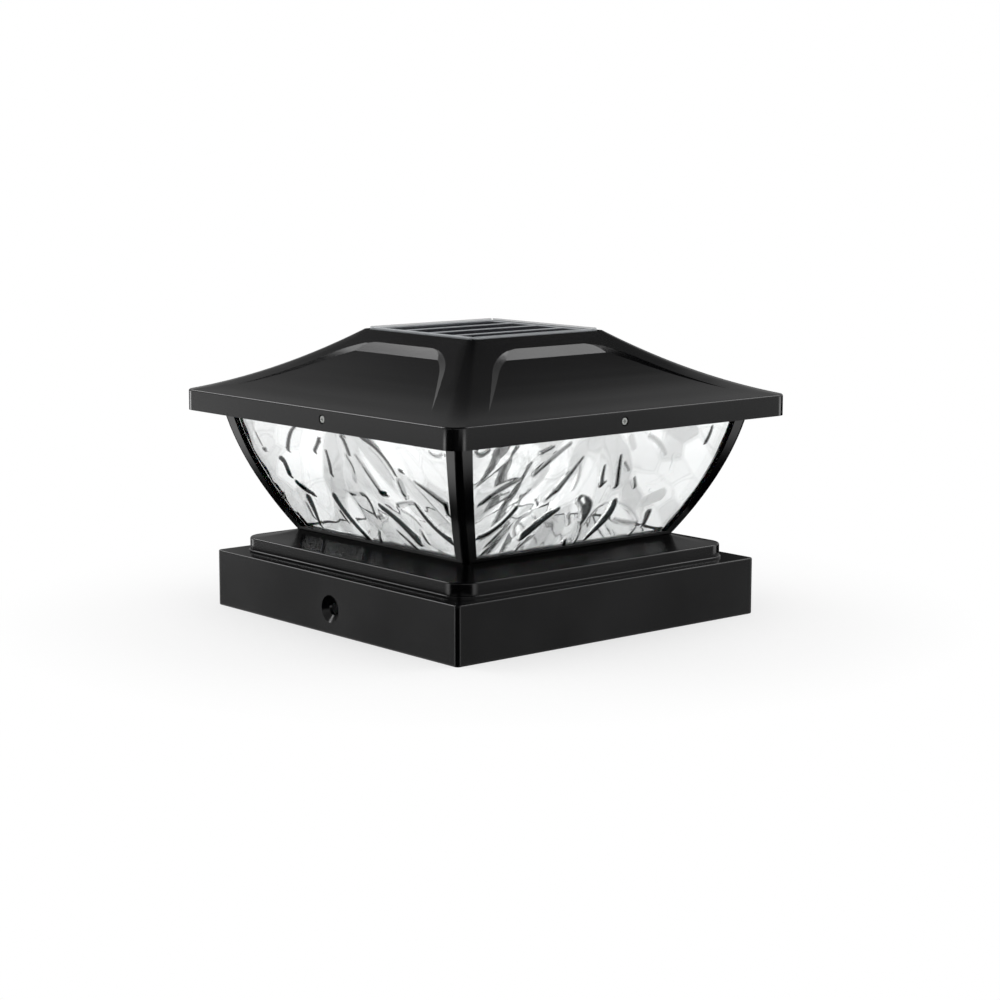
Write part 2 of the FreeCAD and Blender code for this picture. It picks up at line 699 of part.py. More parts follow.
def make_panes():
    """Four curved panes behind the ribs, mitred where they meet."""
    names = ("pane_front", "pane_right", "pane_back", "pane_left")
    for quarter, name in enumerate(names):
        body = new_body(name)
        sections = []
        for share in steps(6):
            height = between("pane_foot", "pane_top", share)
            outer = "(%s - frame_wall - pane_gap)" % frame_half(frame_run(height))
            inner = "(%s - pane_thick)" % outer
            outer_edge = "(%s - mitre_gap)" % outer
            inner_edge = "(%s - mitre_gap)" % inner
            corners = (
                ("-" + outer_edge, "-" + outer),
                (outer_edge, "-" + outer),
                (inner_edge, "-" + inner),
                ("-" + inner_edge, "-" + inner),
            )
            sections.append(polygon(new_sketch(body, height), corners))
        loft(body, sections)
        body.Placement.Rotation = Rotation(Vector(0, 0, 1), 90 * quarter)
        finish(body, name)

    gasket = new_body("pane_gasket")
    outer = "(%s - frame_wall - pane_gap)" % frame_half(frame_run("pane_top"))
    pad(gasket, square(gasket, "pane_top", outer, "frame_inner_corner"), "gasket_thick")
    inner = square(gasket, "frame_top", outer + " - pane_thick", "frame_inner_corner")
    pocket(gasket, inner, "gasket_thick + 1")
    finish(gasket, "pane_gasket")


def make_lantern_floor():
    body = new_body("lantern_floor")
    half = "shade_foot_half - frame_wall - pane_gap - pane_thick - floor_fit"
    pad(body, square(body, "pane_foot", half, "1"), "floor_thick")
    top = num("pane_foot") + num("floor_thick")
    fillet(body, level_edge(top, num(half) - 1.5), "floor_thick / 5")
    finish(body, "lantern_floor")


# ---------------------------------------------------------------- roof

def roof_height(run):
    """Height of the slope, where run goes from 0 at the rim to 1 at the flat top."""
    return "(rim_top + roof_rise * (%s) - 4 * roof_sag * (%s) * (1 - (%s)))" % (run, run, run)


def roof_half_at(run):
    return "(roof_half - roof_span * (%s))" % run


def roof_corner_at(run):
    return "(roof_corner + (roof_top_corner - roof_corner) * (%s))" % run


def recess_sections(body):
    """Sections across the sunk field in the slope that faces -Y, from its top edge down."""
    corner_steps = (0.0, 0.06, 0.16, 0.30)
    field_steps = (0.0, 0.05, 0.11, 0.19, 0.30, 0.48, 0.66, 0.84, 1.0)
    places = ["recess_bevel * %.4f" % (step / 0.3) for step in corner_steps[:-1]]
    places += [between("recess_bevel", "recess_run", step) for step in field_steps]
    sections = []
    for number, down in enumerate(places):
        out = "(recess_start + %s)" % down
        run = "((roof_half - %s) / roof_span)" % out
        surface = roof_height(run)
        room = "max(0; 1 - (%s) / recess_corner)" % down
        rounding = "recess_corner * (1 - sqrt(1 - (%s)^2))" % room
        edge = "(recess_half + recess_flare * (%s) - %s)" % (down, rounding)
        if number < len(corner_steps) - 1:
            depth = "(recess_depth * (%s) / recess_bevel)" % down
        else:
            depth = "(recess_depth * (recess_run - (%s)) / (recess_run - recess_bevel))" % down
        slant = "recess_bevel / recess_depth"
        low_edge = "(%s - %s * %s)" % (edge, depth, slant)
        high_edge = "(%s + %s)" % (edge, slant)
        corners = (
            ("-" + low_edge, "%s - %s" % (surface, depth)),
            (low_edge, "%s - %s" % (surface, depth)),
            (high_edge, "%s + 1" % surface),
            ("-" + high_edge, "%s + 1" % surface),
        )
        sections.append(polygon(new_sketch(body, out, "XZ_Plane"), corners))
    return sections


def make_roof_shell():
    body = new_body("RoofBody")
    slopes = [square(body, roof_height(run), roof_half_at(run), roof_corner_at(run))
              for run in steps(6)]
    loft(body, slopes)
    pad(body, square(body, "rim_bottom", "roof_half", "roof_corner"), "rim_height")
    reach = num("roof_half") - num("roof_corner")
    fillet(body, level_edge(num("rim_top"), reach), "rim_edge")

    recess = loft(body, recess_sections(body), cut=True, straight=True)
    around = body.newObject("PartDesign::PolarPattern", "RecessPattern")
    around.Originals = [recess]
    around.Axis = (next(a for a in body.Origin.OriginFeatures if a.Role == "Z_Axis"), [""])
    around.Angle = 360
    around.Occurrences = 4
    body.Tip = around

    eave_run = "(roof_wall / roof_span)"
    steep = "(roof_rise - 4 * roof_sag)"
    climb = "(16 * roof_sag * (roof_ceiling - rim_top + roof_skin))"
    ceiling_run = "((sqrt(%s^2 + %s) - %s) / (8 * roof_sag))" % (steep, climb, steep)
    eave_height = roof_height(eave_run) + " - roof_skin"
    inner_corner = "(roof_corner - roof_wall)"
    eave = square(body, "rim_bottom", "eave_half", inner_corner)
    pocket(body, eave, "%s - rim_bottom" % eave_height, upwards=True)
    hollow = []
    for share in steps(5):
        run = "(%s)" % between(eave_run, ceiling_run, share)
        corner = "(%s + (roof_top_corner - %s) * %.3f)" % (inner_corner, inner_corner, share)
        hollow.append(square(body, roof_height(run) + " - roof_skin", roof_half_at(run), corner))
    loft(body, hollow, cut=True)

    bed = square(body, "roof_top", "panel_half + panel_fit", "panel_corner + panel_fit")
    pocket(body, bed, "roof_top - pocket_bottom")
    wire_hole = circles(new_sketch(body, "pocket_bottom + 1"), [("0", "-4")], "wire_hole")
    pocket(body, wire_hole, "pocket_floor + 2")
    tools = []
    for (x, y), way in zip(rim_screws_at("roof_half"), INWARD):
        tools.append(rod(x, y, "rim_screw", "0.75 + 0.1", "roof_wall + 1", way))
        tools.append(rod(x, y, "rim_screw", "1.1 + 0.4", "1.1", way))
    finish(cut(body, tools), "roof_shell")


# ---------------------------------------------------------------- solar panel

def make_solar_panel():
    glue = new_body("panel_sealant")
    pad(glue, square(glue, "pocket_bottom", "panel_half - 0.5", "panel_corner"), "glue_thick")
    inner = square(glue, "panel_under", "panel_half - 4.5", "panel_corner")
    pocket(glue, inner, "glue_thick + 1")
    finish(glue, "panel_sealant")

    backing = new_body("panel_backing")
    pad(backing, square(backing, "panel_under", "panel_half", "panel_corner"), "backing_thick")
    finish(backing, "panel_backing")

    cells = []
    busbars = []
    bar_levels = ("busbar_foot", "busbar_foot + busbar_thick")
    for index in range(4):
        middle = "cell_pitch * %.1f" % (index - 1.5)
        cells.append(block(
            (middle + " - cell_width / 2", middle + " + cell_width / 2"),
            ("-cell_length / 2", "cell_length / 2"),
            ("cell_foot", "busbar_foot")))
    for index in range(5):
        middle = "busbar_pitch * %.1f" % (index - 2)
        busbars.append(block(
            (middle + " - busbar_width / 2", middle + " + busbar_width / 2"),
            ("-busbar_end", "busbar_end"), bar_levels))
    for side in ("-1", "1"):
        middle = side + " * busbar_end"
        busbars.append(block(
            ("-2 * busbar_pitch - busbar_width / 2", "2 * busbar_pitch + busbar_width / 2"),
            (middle + " - busbar_width / 2", middle + " + busbar_width / 2"), bar_levels))
    finish(group(cells, "SolarCells"), "solar_cells")
    finish(fuse(busbars, "Busbars"), "solar_busbars")

    cover = new_body("panel_cover")
    pad(cover, square(cover, "cell_foot", "panel_half", "panel_corner"), "cover_thick")
    fillet(cover, level_edge(num("cover_top"), num("panel_half - panel_corner")), "cover_thick / 5")
    hollow = square(cover, "cell_foot", "panel_half - cover_rim", "panel_corner - cover_rim")
    pocket(cover, hollow, "cover_hollow", upwards=True)
    finish(cover, "panel_cover")


# ---------------------------------------------------------------- ceiling tray and diffuser

BOARD_SCREWS = (
    ("-board_screw_x", "-board_screw_front"),
    ("board_screw_x", "-board_screw_front"),
    ("-board_screw_x", "-board_screw_back"),
    ("board_screw_x", "-board_screw_back"),
)


def make_ceiling_tray():
    body = new_body("TrayBody")
    pad(body, square(body, "frame_top", "tray_half", "tray_corner"), "tray_thick")
    lug = rectangle(new_sketch(body, "frame_top"), "-lug_half", "lug_half",
                    "tray_half - lug_deep", "tray_half")
    lug_pad = pad(body, lug, "lug_rise")
    around = body.newObject("PartDesign::PolarPattern", "LugPattern")
    around.Originals = [lug_pad]
    around.Axis = (next(a for a in body.Origin.OriginFeatures if a.Role == "Z_Axis"), [""])
    around.Angle = 360
    around.Occurrences = 4
    body.Tip = around
    bosses = circles(new_sketch(body, "frame_top"), four_corners("soffit_screw"),
                     "soffit_boss_radius")
    pad(body, bosses, "soffit_boss_rise")
    standoffs = circles(new_sketch(body, "frame_top"), BOARD_SCREWS, "standoff_radius")
    pad(body, standoffs, "tray_thick + standoff_rise")
    window = rectangle(new_sketch(body, "tray_top + 1"), "-window_half", "window_half",
                       "-window_front", "-window_back")
    pocket(body, window, "tray_thick + 2")
    button_room = rounded(new_sketch(body, "tray_top + 1"),
                          "(button_half_wide + collar_edge + 0.3)",
                          "(button_half_long + collar_edge + 0.3)", "1",
                          "button_x", "-button_place")
    pocket(body, button_room, "tray_thick + 2")
    stakes = circles(new_sketch(body, "tray_top + 1"), four_corners("stake_place"),
                     "stake_radius + 0.15")
    pocket(body, stakes, "tray_thick + 2")
    tools = []
    for x, y in four_corners("soffit_screw"):
        tools.append(rod(x, y, "frame_top - 1", "0.85 + screw_fit", "soffit_boss_rise + 0.6"))
    for x, y in BOARD_SCREWS:
        tools.append(rod(x, y, "frame_top - 1", "0.95 + screw_fit",
                         "tray_thick + standoff_rise + 2"))
    for (x, y), way in zip(rim_screws_at("tray_half + 1"), INWARD):
        tools.append(rod(x, y, "rim_screw", "0.75 + screw_fit", "lug_deep + 0.6", way))
    finish(cut(body, tools), "ceiling_tray")


def make_diffuser():
    body = new_body("diffuser")
    foot = "frame_top - diffuser_thick"
    half = "(%s - frame_wall - pane_gap - pane_thick - diffuser_gap)" % frame_half(frame_run(foot))
    pad(body, square(body, foot, half, "1"), "diffuser_thick")
    pins = circles(new_sketch(body, "frame_top"), four_corners("stake_place"), "stake_radius")
    pad(body, pins, "tray_thick + 0.7")
    heads = circles(new_sketch(body, "tray_top"), four_corners("stake_place"), "stake_head")
    pad(body, heads, "0.7")
    finish(body, "diffuser")


# ---------------------------------------------------------------- control board

def make_control_board():
    body = new_body("BoardBody")
    tongue_end = "button_x - switch_half"
    outline = (
        ("-board_half", "-board_front"), ("board_half", "-board_front"),
        ("board_half", "board_back"), ("-board_half", "board_back"),
        ("-board_half", "-button_place + tongue_half"),
        (tongue_end, "-button_place + tongue_half"),
        (tongue_end, "-button_place - tongue_half"),
        ("-board_half", "-button_place - tongue_half"),
    )
    pad(body, polygon(new_sketch(body, "board_under"), outline), "board_thick")
    holes = circles(new_sketch(body, "board_top + 1"), BOARD_SCREWS, "0.95 + 0.2")
    pocket(body, holes, "board_thick + 2")
    finish(body, "control_board")

    lamps = []
    for column in (-1.5, -0.5, 0.5, 1.5):
        for row in (-0.5, 0.5):
            x = "%.1f * led_pitch_x" % column
            y = "-led_row + %.1f * led_pitch_y" % row
            lamps.append(block(
                (x + " - led_long / 2", x + " + led_long / 2"),
                (y + " - led_wide / 2", y + " + led_wide / 2"),
                ("board_under - led_tall", "board_under")))
    finish(group(lamps, "LampChips"), "led_chips")

    half_long = "chip_long / 2"
    half_wide = "chip_wide / 2"
    chip = [block(("chip_x - " + half_long, "chip_x + " + half_long),
                  ("chip_y - " + half_wide, "chip_y + " + half_wide),
                  ("board_top", "board_top + chip_tall"))]
    for column in (-1.5, -0.5, 0.5, 1.5):
        middle = "chip_x + %.1f * chip_leg_pitch" % column
        chip.append(block(
            (middle + " - chip_leg_wide / 2", middle + " + chip_leg_wide / 2"),
            ("chip_y - %s - chip_leg" % half_wide, "chip_y + %s + chip_leg" % half_wide),
            ("board_top", "board_top + chip_leg_wide")))
    finish(fuse(chip, "Chip"), "control_chip")

    core = rod("inductor_x", "inductor_y", "board_top", "inductor_radius", "inductor_tall")
    winding = "inductor_tall - 2 * inductor_flange"
    around = rod("inductor_x", "inductor_y", "board_top + inductor_flange",
                 "inductor_radius + 1", winding)
    inner = rod("inductor_x", "inductor_y", "board_top", "inductor_radius - 0.7",
                "inductor_tall")
    finish(cut(core, [cut(around, [inner])]), "inductor")

    can = rod("capacitor_x", "capacitor_y", "board_top", "capacitor_radius", "capacitor_tall")
    around = rod("capacitor_x", "capacitor_y", "board_top + 0.9", "capacitor_radius + 1", "0.5")
    inner = rod("capacitor_x", "capacitor_y", "board_top", "capacitor_radius - 0.3",
                "capacitor_tall")
    finish(cut(can, [cut(around, [inner])]), "capacitor")


# ---------------------------------------------------------------- push button and switch

def make_button():
    body = new_body("button_cap")
    foot = "soffit_under - button_proud"
    cap = rounded(new_sketch(body, foot), "button_half_wide", "button_half_long",
                  "button_half_wide - 0.05", "button_x", "-button_place")
    pad(body, cap, "collar_foot - (%s)" % foot)
    fillet(body, lambda edge: edge.BoundBox.ZMax < num(foot) + 0.01, "button_proud / 2")
    collar = rounded(new_sketch(body, "collar_foot"), "(button_half_wide + collar_edge)",
                     "(button_half_long + collar_edge)", "0.9", "button_x", "-button_place")
    pad(body, collar, "collar_thick")
    finish(body, "button_cap")

    plunger_foot = "collar_foot + collar_thick"
    plunger = rod("button_x", "-button_place", plunger_foot, "plunger_radius",
                  "plunger_tip - (%s)" % plunger_foot)
    finish(plunger, "switch_plunger")
    case = block(("button_x - switch_half", "button_x + switch_half"),
                 ("-button_place - switch_half", "-button_place + switch_half"),
                 ("switch_foot", "board_under"))
    bore = rod("button_x", "-button_place", "switch_foot - 1", "plunger_radius + plunger_fit",
               "switch_tall + 0.8")
    finish(cut(case, [bore], "SwitchCase"), "switch_case")

    # The snap dome is a shallow cap that springs back between the plunger and the switch.
    rise = num("board_under - 0.2") - num("plunger_tip")
    reach = num("plunger_radius") - 0.05
    thick = num("dome_thick")
    outer = (rise ** 2 + reach ** 2) / (2 * rise)
    centre = Vector(0, 0, outer)
    tall = Part.makeCylinder(reach, rise)
    ball = Part.makeSphere(outer, centre)
    hollow = Part.makeSphere(outer - thick, centre)
    dome = doc.addObject("Part::Feature", "SnapDome")
    dome.Shape = tall.common(ball).cut(hollow)
    place(dome, "button_x", "-button_place", "plunger_tip")
    finish(dome, "switch_dome")


# ---------------------------------------------------------------- battery

def arc_through(start, heading, end):
    """The arc that leaves start along heading and reaches end."""
    chord = end - start
    side = chord - heading * chord.dot(heading)
    if side.Length < 1e-6:
        return Part.LineSegment(start, end)
    side.normalize()
    turn = math.atan2(chord.dot(side), chord.dot(heading))
    radius = chord.Length / (2 * math.sin(turn))
    middle = start + side * radius - (side * math.cos(turn) - heading * math.sin(turn)) * radius
    return Part.Arc(start, middle, end)


def biarc(start, heading, end, final):
    """Two tangent arcs from start along heading to end along final."""
    chord = end - start
    both = heading + final
    a = 2 * (1 - heading.dot(final))
    b = 2 * chord.dot(both)
    if abs(a) < 1e-9:
        reach = chord.dot(chord) / b
    else:
        reach = (-b + math.sqrt(b * b + 4 * a * chord.dot(chord))) / (2 * a)
    joint = (start + heading * reach + end - final * reach) * 0.5
    first = arc_through(start, heading, joint)
    back = arc_through(end, final * -1, joint)
    return [first, Part.Arc(joint, back.value((back.FirstParameter + back.LastParameter) / 2), end)]


def coil_point(share, pitch_length, turns, foot, tip):
    angle = 2 * math.pi * turns * share
    radius = foot + (tip - foot) * share
    return Vector(radius * math.cos(angle), radius * math.sin(angle), pitch_length * share)


def make_spring():
    """A conical wire coil along +X between the contact and the battery's flat end."""
    wire = num("spring_wire")
    length = num("spring_room") - 2 * wire
    foot = num("spring_foot")
    tip = num("spring_tip")
    turns = num("spring_turns")
    count = max(8, int(round(turns * 4)))
    step = 1e-4

    def point(share):
        return coil_point(share, length, turns, foot, tip)

    def heading(share):
        way = point(share + step) - point(share - step)
        return way.normalize()

    arcs = []
    for index in range(count):
        low = index / count
        high = (index + 1) / count
        arcs += biarc(point(low), heading(low), point(high), heading(high))
    path = Part.Wire([arc.toShape() for arc in arcs])
    ring = Part.Wire([Part.makeCircle(wire, point(0), heading(0))])
    coil = path.makePipeShell([ring], True, False)
    gap = min((point(s / 400) - point(s / 400 + 1 / turns)).Length
              for s in range(int(400 * (1 - 1 / turns)))) - 2 * wire
    print("battery spring: volume %.2f, section times length %.2f, least gap %.2f mm"
          % (coil.Volume, math.pi * wire ** 2 * path.Length, gap))
    spring = doc.addObject("Part::Feature", "BatterySpring")
    spring.Shape = coil
    turned(spring, "-contact_plus + spring_wire", "battery_place", "battery_axis", "+x")
    finish(spring, "battery_spring")


def make_battery():
    axis = "battery_axis"
    y = "battery_place"
    tape = block(("-holder_half", "holder_half"),
                 (y + " - holder_side", y + " + holder_side"), ("tray_top", "holder_foot"))
    finish(tape, "foam_tape")

    outside = "(holder_side + holder_wall)"
    shell = block(("-holder_half", "holder_half"),
                  ("%s - %s" % (y, outside), "%s + %s" % (y, outside)),
                  ("holder_foot", axis + " + holder_rise"))
    room = block(("-holder_room", "holder_room"),
                 (y + " - holder_side", y + " + holder_side"),
                 ("holder_foot + holder_wall", axis + " + holder_rise + 1"))
    tools = [room]
    contacts = []
    for side in (-1, 1):
        low, high = ("contact_plus", "contact_plus + contact_thick")
        if side < 0:
            low, high = ("-contact_plus - contact_thick", "-contact_plus")
        tab_low = "%s - %s - 0.6" % (y, outside)
        plate = block((low, high), (y + " - contact_half", y + " + contact_half"),
                      (axis + " - 5", axis + " + holder_rise"))
        tab = block((low, high), (tab_low, y + " - contact_half + 1"),
                    (axis + " - 1.5", axis + " + 1.5"))
        contacts.append(fuse([plate, tab]))
        tools.append(block((low + " - 0.1", high + " + 0.1"), (tab_low, y),
                           (axis + " - 1.6", axis + " + holder_rise + 1")))
    finish(cut(shell, tools, "HolderShell"), "battery_holder")
    finish(group(contacts, "Contacts"), "battery_contacts")

    can = rod("battery_foot", y, axis, "battery_radius", "battery_long", "+x")
    nub = rod("battery_foot + battery_long", y, axis, "nub_radius", "nub_long", "+x")
    crimp = cut(rod("battery_foot + battery_long - 2.4", y, axis, "battery_radius + 1", "0.8", "+x"),
                [rod("battery_foot", y, axis, "battery_radius - 0.25", "battery_long", "+x")])
    finish(cut(fuse([can, nub]), [crimp], "Cell"), "battery")


# ---------------------------------------------------------------- wires

def wire(name, route):
    """A round wire along straight runs that are joined by tangent arcs."""
    points = [Vector(*[num(rule) for rule in point]) for point in route]
    edges = []
    radii = []
    start = points[0]
    for before, corner, after in zip(points, points[1:], points[2:]):
        into = (corner - before).normalize()
        out = (after - corner).normalize()
        half_turn = into.getAngle(out) / 2
        setback = 0.45 * min((corner - before).Length, (after - corner).Length)
        radii.append(setback / math.tan(half_turn))
        entry = corner - into * setback
        leave = corner + out * setback
        inward = (out - into).normalize()
        to_centre = radii[-1] / math.cos(half_turn)
        middle = corner + inward * (to_centre - radii[-1])
        edges.append(Part.LineSegment(start, entry).toShape())
        edges.append(Part.Arc(entry, middle, leave).toShape())
        start = leave
    edges.append(Part.LineSegment(start, points[-1]).toShape())
    path = Part.Wire(edges)
    radius = num("wire_radius")
    way = (points[1] - points[0]).normalize()
    ring = Part.Wire([Part.makeCircle(radius, points[0], way)])
    tube = path.makePipeShell([ring], True, False)
    print("%s: length %.1f, radii %s, volume %.2f, section times length %.2f"
          % (name, path.Length, ["%.1f" % value for value in radii], tube.Volume,
             math.pi * radius ** 2 * path.Length))
    item = doc.addObject("Part::Feature", "Wire")
    item.Shape = tube
    finish(item, name)


def make_wires():
    for name, side in (("panel_wire_plus", "1"), ("panel_wire_minus", "-1")):
        x = side + " * wire_apart"
        route = (
            (x, "-4", "panel_under"),
            (x, "-4", between("panel_under", "board_top", 0.32)),
            (x, "-12", between("panel_under", "board_top", 0.68)),
            (x, "-12", "board_top"),
        )
        wire(name, route)
    tab_face = "battery_place - holder_side - holder_wall - 0.6"
    board_pad = "board_back - 3.4"
    for name, side in (("battery_wire_plus", "1"), ("battery_wire_minus", "-1")):
        x = side + " * (contact_plus + contact_thick / 2)"
        route = (
            (x, tab_face, "battery_axis"),
            (x, board_pad + " + 4", "battery_axis"),
            (x, board_pad, "battery_axis - 4"),
            (x, board_pad, "board_top"),
        )
        wire(name, route)


# ---------------------------------------------------------------- screws

def make_screws():
    rim = []
    for (x, y), way in zip(rim_screws_at("roof_half - 1.1"), OUTWARD):
        rim.append(screw("rim", x, y, "rim_screw", way))
    finish(group(rim, "RimScrews"), "rim_screws")
    soffit = [screw("soffit", x, y, "soffit_under", "-z") for x, y in four_corners("soffit_screw")]
    finish(group(soffit, "SoffitScrews"), "soffit_screws")
    skirt = [screw("skirt", x, y, "deck_under", "-z") for x, y in four_corners("boss_place")]
    finish(group(skirt, "SkirtScrews"), "skirt_screws")
    board = [screw("board", x, y, "board_top", "+z") for x, y in BOARD_SCREWS]
    finish(group(board, "BoardScrews"), "board_screws")


# ---------------------------------------------------------------- build, check and write

make_post_skirt()
make_plinth()
make_lantern_frame()
make_panes()
make_lantern_floor()
make_roof_shell()
make_solar_panel()
make_ceiling_tray()
make_diffuser()
make_control_board()
make_button()
make_battery()
make_spring()
make_wires()
make_screws()
doc.recompute()

for item in doc.Objects:
    if "Invalid" in item.State or "Error" in item.State:
        raise RuntimeError("failed: %s (%s) %s" % (item.Label, item.Name, item.State))

os.makedirs("parts", exist_ok=True)
for item in finished:
    shape = item.Shape
    if shape.isNull() or not shape.isValid() or shape.Volume <= 0:
        raise RuntimeError("bad shape: " + item.Label)
    box = shape.BoundBox
    print("%-20s solids %d  volume %9.1f  z %.2f to %.2f"
          % (item.Label, len(shape.Solids), shape.Volume, box.ZMin, box.ZMax))
    shape.exportStep("parts/%s.step" % item.Label)
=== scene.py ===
# %% [markdown]
# # Solar post cap light
# A black moulded lantern that sits over the top of a square post. A hipped roof carries a
# small solar panel, and four rippled clear panes stand behind bowed corner ribs. The CAD
# frame gives every part its size and place. This script gives them their finish, and swaps
# the plain panes for ones with the moulded leaf pattern. Blender works in metres here, and
# sizes that a maker would give in millimetres pass through one small function.

import math

import bpy
import numpy as np
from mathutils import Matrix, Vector


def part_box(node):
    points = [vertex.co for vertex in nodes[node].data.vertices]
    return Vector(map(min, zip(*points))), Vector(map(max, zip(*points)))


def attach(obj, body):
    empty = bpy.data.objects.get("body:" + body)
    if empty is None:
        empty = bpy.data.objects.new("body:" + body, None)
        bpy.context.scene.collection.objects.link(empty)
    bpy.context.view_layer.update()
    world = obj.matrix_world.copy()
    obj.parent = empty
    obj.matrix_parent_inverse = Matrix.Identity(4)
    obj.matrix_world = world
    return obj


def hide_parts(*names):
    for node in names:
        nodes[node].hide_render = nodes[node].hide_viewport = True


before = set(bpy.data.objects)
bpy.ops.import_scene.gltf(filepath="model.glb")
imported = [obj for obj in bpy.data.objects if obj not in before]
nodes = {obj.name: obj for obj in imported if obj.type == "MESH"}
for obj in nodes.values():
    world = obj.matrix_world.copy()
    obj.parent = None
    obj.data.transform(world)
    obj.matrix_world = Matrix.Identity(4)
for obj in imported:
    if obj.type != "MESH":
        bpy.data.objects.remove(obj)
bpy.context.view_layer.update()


def mm(size):
    """Millimetres as metres."""
    return size / 1000.0


def in_mm(size):
    """Metres as millimetres."""
    return size * 1000.0


def deselect_all():
    """New pieces come selected, and the next operator would take them along."""
    for item in bpy.context.selected_objects:
        item.select_set(False)


deselect_all()

# %% [markdown]
# ## Camera
# The photograph looks at one corner from a little above the roof. The angles, distance and
# focal length were found by matching the skirt's and the rim's corners. The small shifts
# put the lantern where the photograph has it, without turning the camera.

# %% Camera
AZIMUTH = math.radians(49.894)
ELEVATION = math.radians(8.933)
DISTANCE = 0.8234
AIM = Vector((0.0, 0.0, mm(36.68)))

towards_camera = Vector((
    math.sin(AZIMUTH) * math.cos(ELEVATION),
    -math.cos(AZIMUTH) * math.cos(ELEVATION),
    math.sin(ELEVATION),
))
camera_data = bpy.data.cameras.new("studio_camera")
camera_data.sensor_width = 36.0
camera_data.lens = 86.44
camera_data.shift_x = 0.01702
camera_data.shift_y = 0.0037
camera_data.clip_start = 0.01
camera = bpy.data.objects.new("studio_camera", camera_data)
bpy.context.scene.collection.objects.link(camera)
camera.location = AIM + towards_camera * DISTANCE
camera.rotation_euler = (-towards_camera).to_track_quat("-Z", "Y").to_euler()
bpy.context.scene.camera = camera
bpy.context.scene.view_settings.view_transform = "Standard"
print("camera at", tuple(round(value, 4) for value in camera.location))

# %% [markdown]
# ## Colours and nodes
# Paint and plastic colours are read off as sRGB hex values, but shaders work in linear
# light, so one function turns one into the other. Another small function adds a node with
# its settings and links, which keeps each material down to the few lines that matter.

# %% Helpers for materials


def colour(code):
    """An sRGB hex colour as linear red, green, blue and alpha."""
    channels = [int(code[place:place + 2], 16) / 255.0 for place in (1, 3, 5)]
    linear = [c / 12.92 if c <= 0.04045 else ((c + 0.055) / 1.055) ** 2.4 for c in channels]
    return (*linear, 1.0)


def add_node(tree, kind, inputs=None, **settings):
    """Adds a node with its settings. An input is a plain value or another node's output."""
    node = tree.nodes.new(kind)
    for name, value in settings.items():
        setattr(node, name, value)
    for socket, value in (inputs or {}).items():
        if isinstance(value, bpy.types.NodeSocket):
            tree.links.new(value, node.inputs[socket])
        else:
            node.inputs[socket].default_value = value
    return node


def new_material(name, **surface):
    """A material with one Principled shader, whose plain values are set on its sockets."""
    material = bpy.data.materials.new(name)
    material.use_nodes = True
    shader = material.node_tree.nodes["Principled BSDF"]
    for socket, value in surface.items():
        shader.inputs[socket.replace("_", " ")].default_value = value
    return material, material.node_tree, shader


def per_metre(size_in_mm):
    """The scale that makes a pattern repeat at this size."""
    return 1.0 / mm(size_in_mm)


# %% [markdown]
# ## Black moulded ABS
# The roof, frame, plinth and skirt are injection moulded in black ABS. The mould's steel is
# lightly blasted, so the skin is satin: a soft reflection, sharper on the edges. Fine grain
# is about 0.1 mm on the real one. It is drawn at 0.45 mm, because finer grain is lost
# between the pixels. A slow change in gloss stands for how the plastic flowed and cooled.

# %% Moulded ABS
FLOW_MM = 38.0
FLOW_RANGE = {"From Min": 0.3, "From Max": 0.7}
FLOW_TONE = 0.2


def moulded_abs(name, code, grain_mm, grain_lift, rough_low, rough_high):
    """Satin plastic whose gloss and tone wander slowly, under a fine grain."""
    material, tree, shader = new_material(name, IOR=1.54, Specular_IOR_Level=0.42)
    place = add_node(tree, "ShaderNodeTexCoord")
    flow = add_node(tree, "ShaderNodeTexNoise", {
        "Vector": place.outputs["Object"], "Scale": per_metre(FLOW_MM), "Detail": 3.0})
    rough = add_node(tree, "ShaderNodeMapRange", {
        "Value": flow.outputs["Fac"], **FLOW_RANGE, "To Min": rough_low, "To Max": rough_high})
    tree.links.new(rough.outputs["Result"], shader.inputs["Roughness"])
    deep = colour(code)
    tint = add_node(tree, "ShaderNodeMix", {
        0: flow.outputs["Fac"],
        6: tuple(channel * (1.0 - FLOW_TONE) for channel in deep[:3]) + (1.0,),
        7: tuple(channel * (1.0 + FLOW_TONE) for channel in deep[:3]) + (1.0,)},
        data_type="RGBA")
    tree.links.new(tint.outputs[2], shader.inputs["Base Color"])
    grain = add_node(tree, "ShaderNodeTexNoise", {
        "Vector": place.outputs["Object"], "Scale": per_metre(grain_mm), "Detail": 2.0})
    bump = add_node(tree, "ShaderNodeBump", {
        "Height": grain.outputs["Fac"], "Strength": 1.0, "Distance": mm(grain_lift)})
    tree.links.new(bump.outputs["Normal"], shader.inputs["Normal"])
    return material


black_abs = moulded_abs("black_abs_moulded", "#040405", grain_mm=0.45, grain_lift=0.0015,
                        rough_low=0.15, rough_high=0.2)
print("made", black_abs.name)

# %% [markdown]
# ## Floor, backdrop and light
# The photograph has a white studio sweep. The floor is a large plane whose own shadow is kept
# near the lantern. Further off it turns to plain white where it is seen, so that no horizon
# shows. The world is white where it is seen, and brighter than white through the panes, since
# a lit backdrop is over-exposed. Black plastic is mostly what it mirrors, so for mirror rays
# the world holds pale and dark studio walls, by direction: a pale one on the left, a weaker
# one on the right, each with a brighter edge towards the corner, and darkness in front. Two
# soft lamps draw bright lines along the edges, and one overhead only lights.

# %% Floor
# The part that is seen as white starts FLOOR_TUCK inside the skirt's outer edge.
FLOOR_HALF = 3.0
SKIRT_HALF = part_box("post_skirt")[1].x
FLOOR_TUCK = mm(4.0)
BACKDROP_EXPOSURE = 1.16
FLOOR_SHARE_NEAR = 0.6
FLOOR_WHITE_FROM = 0.17


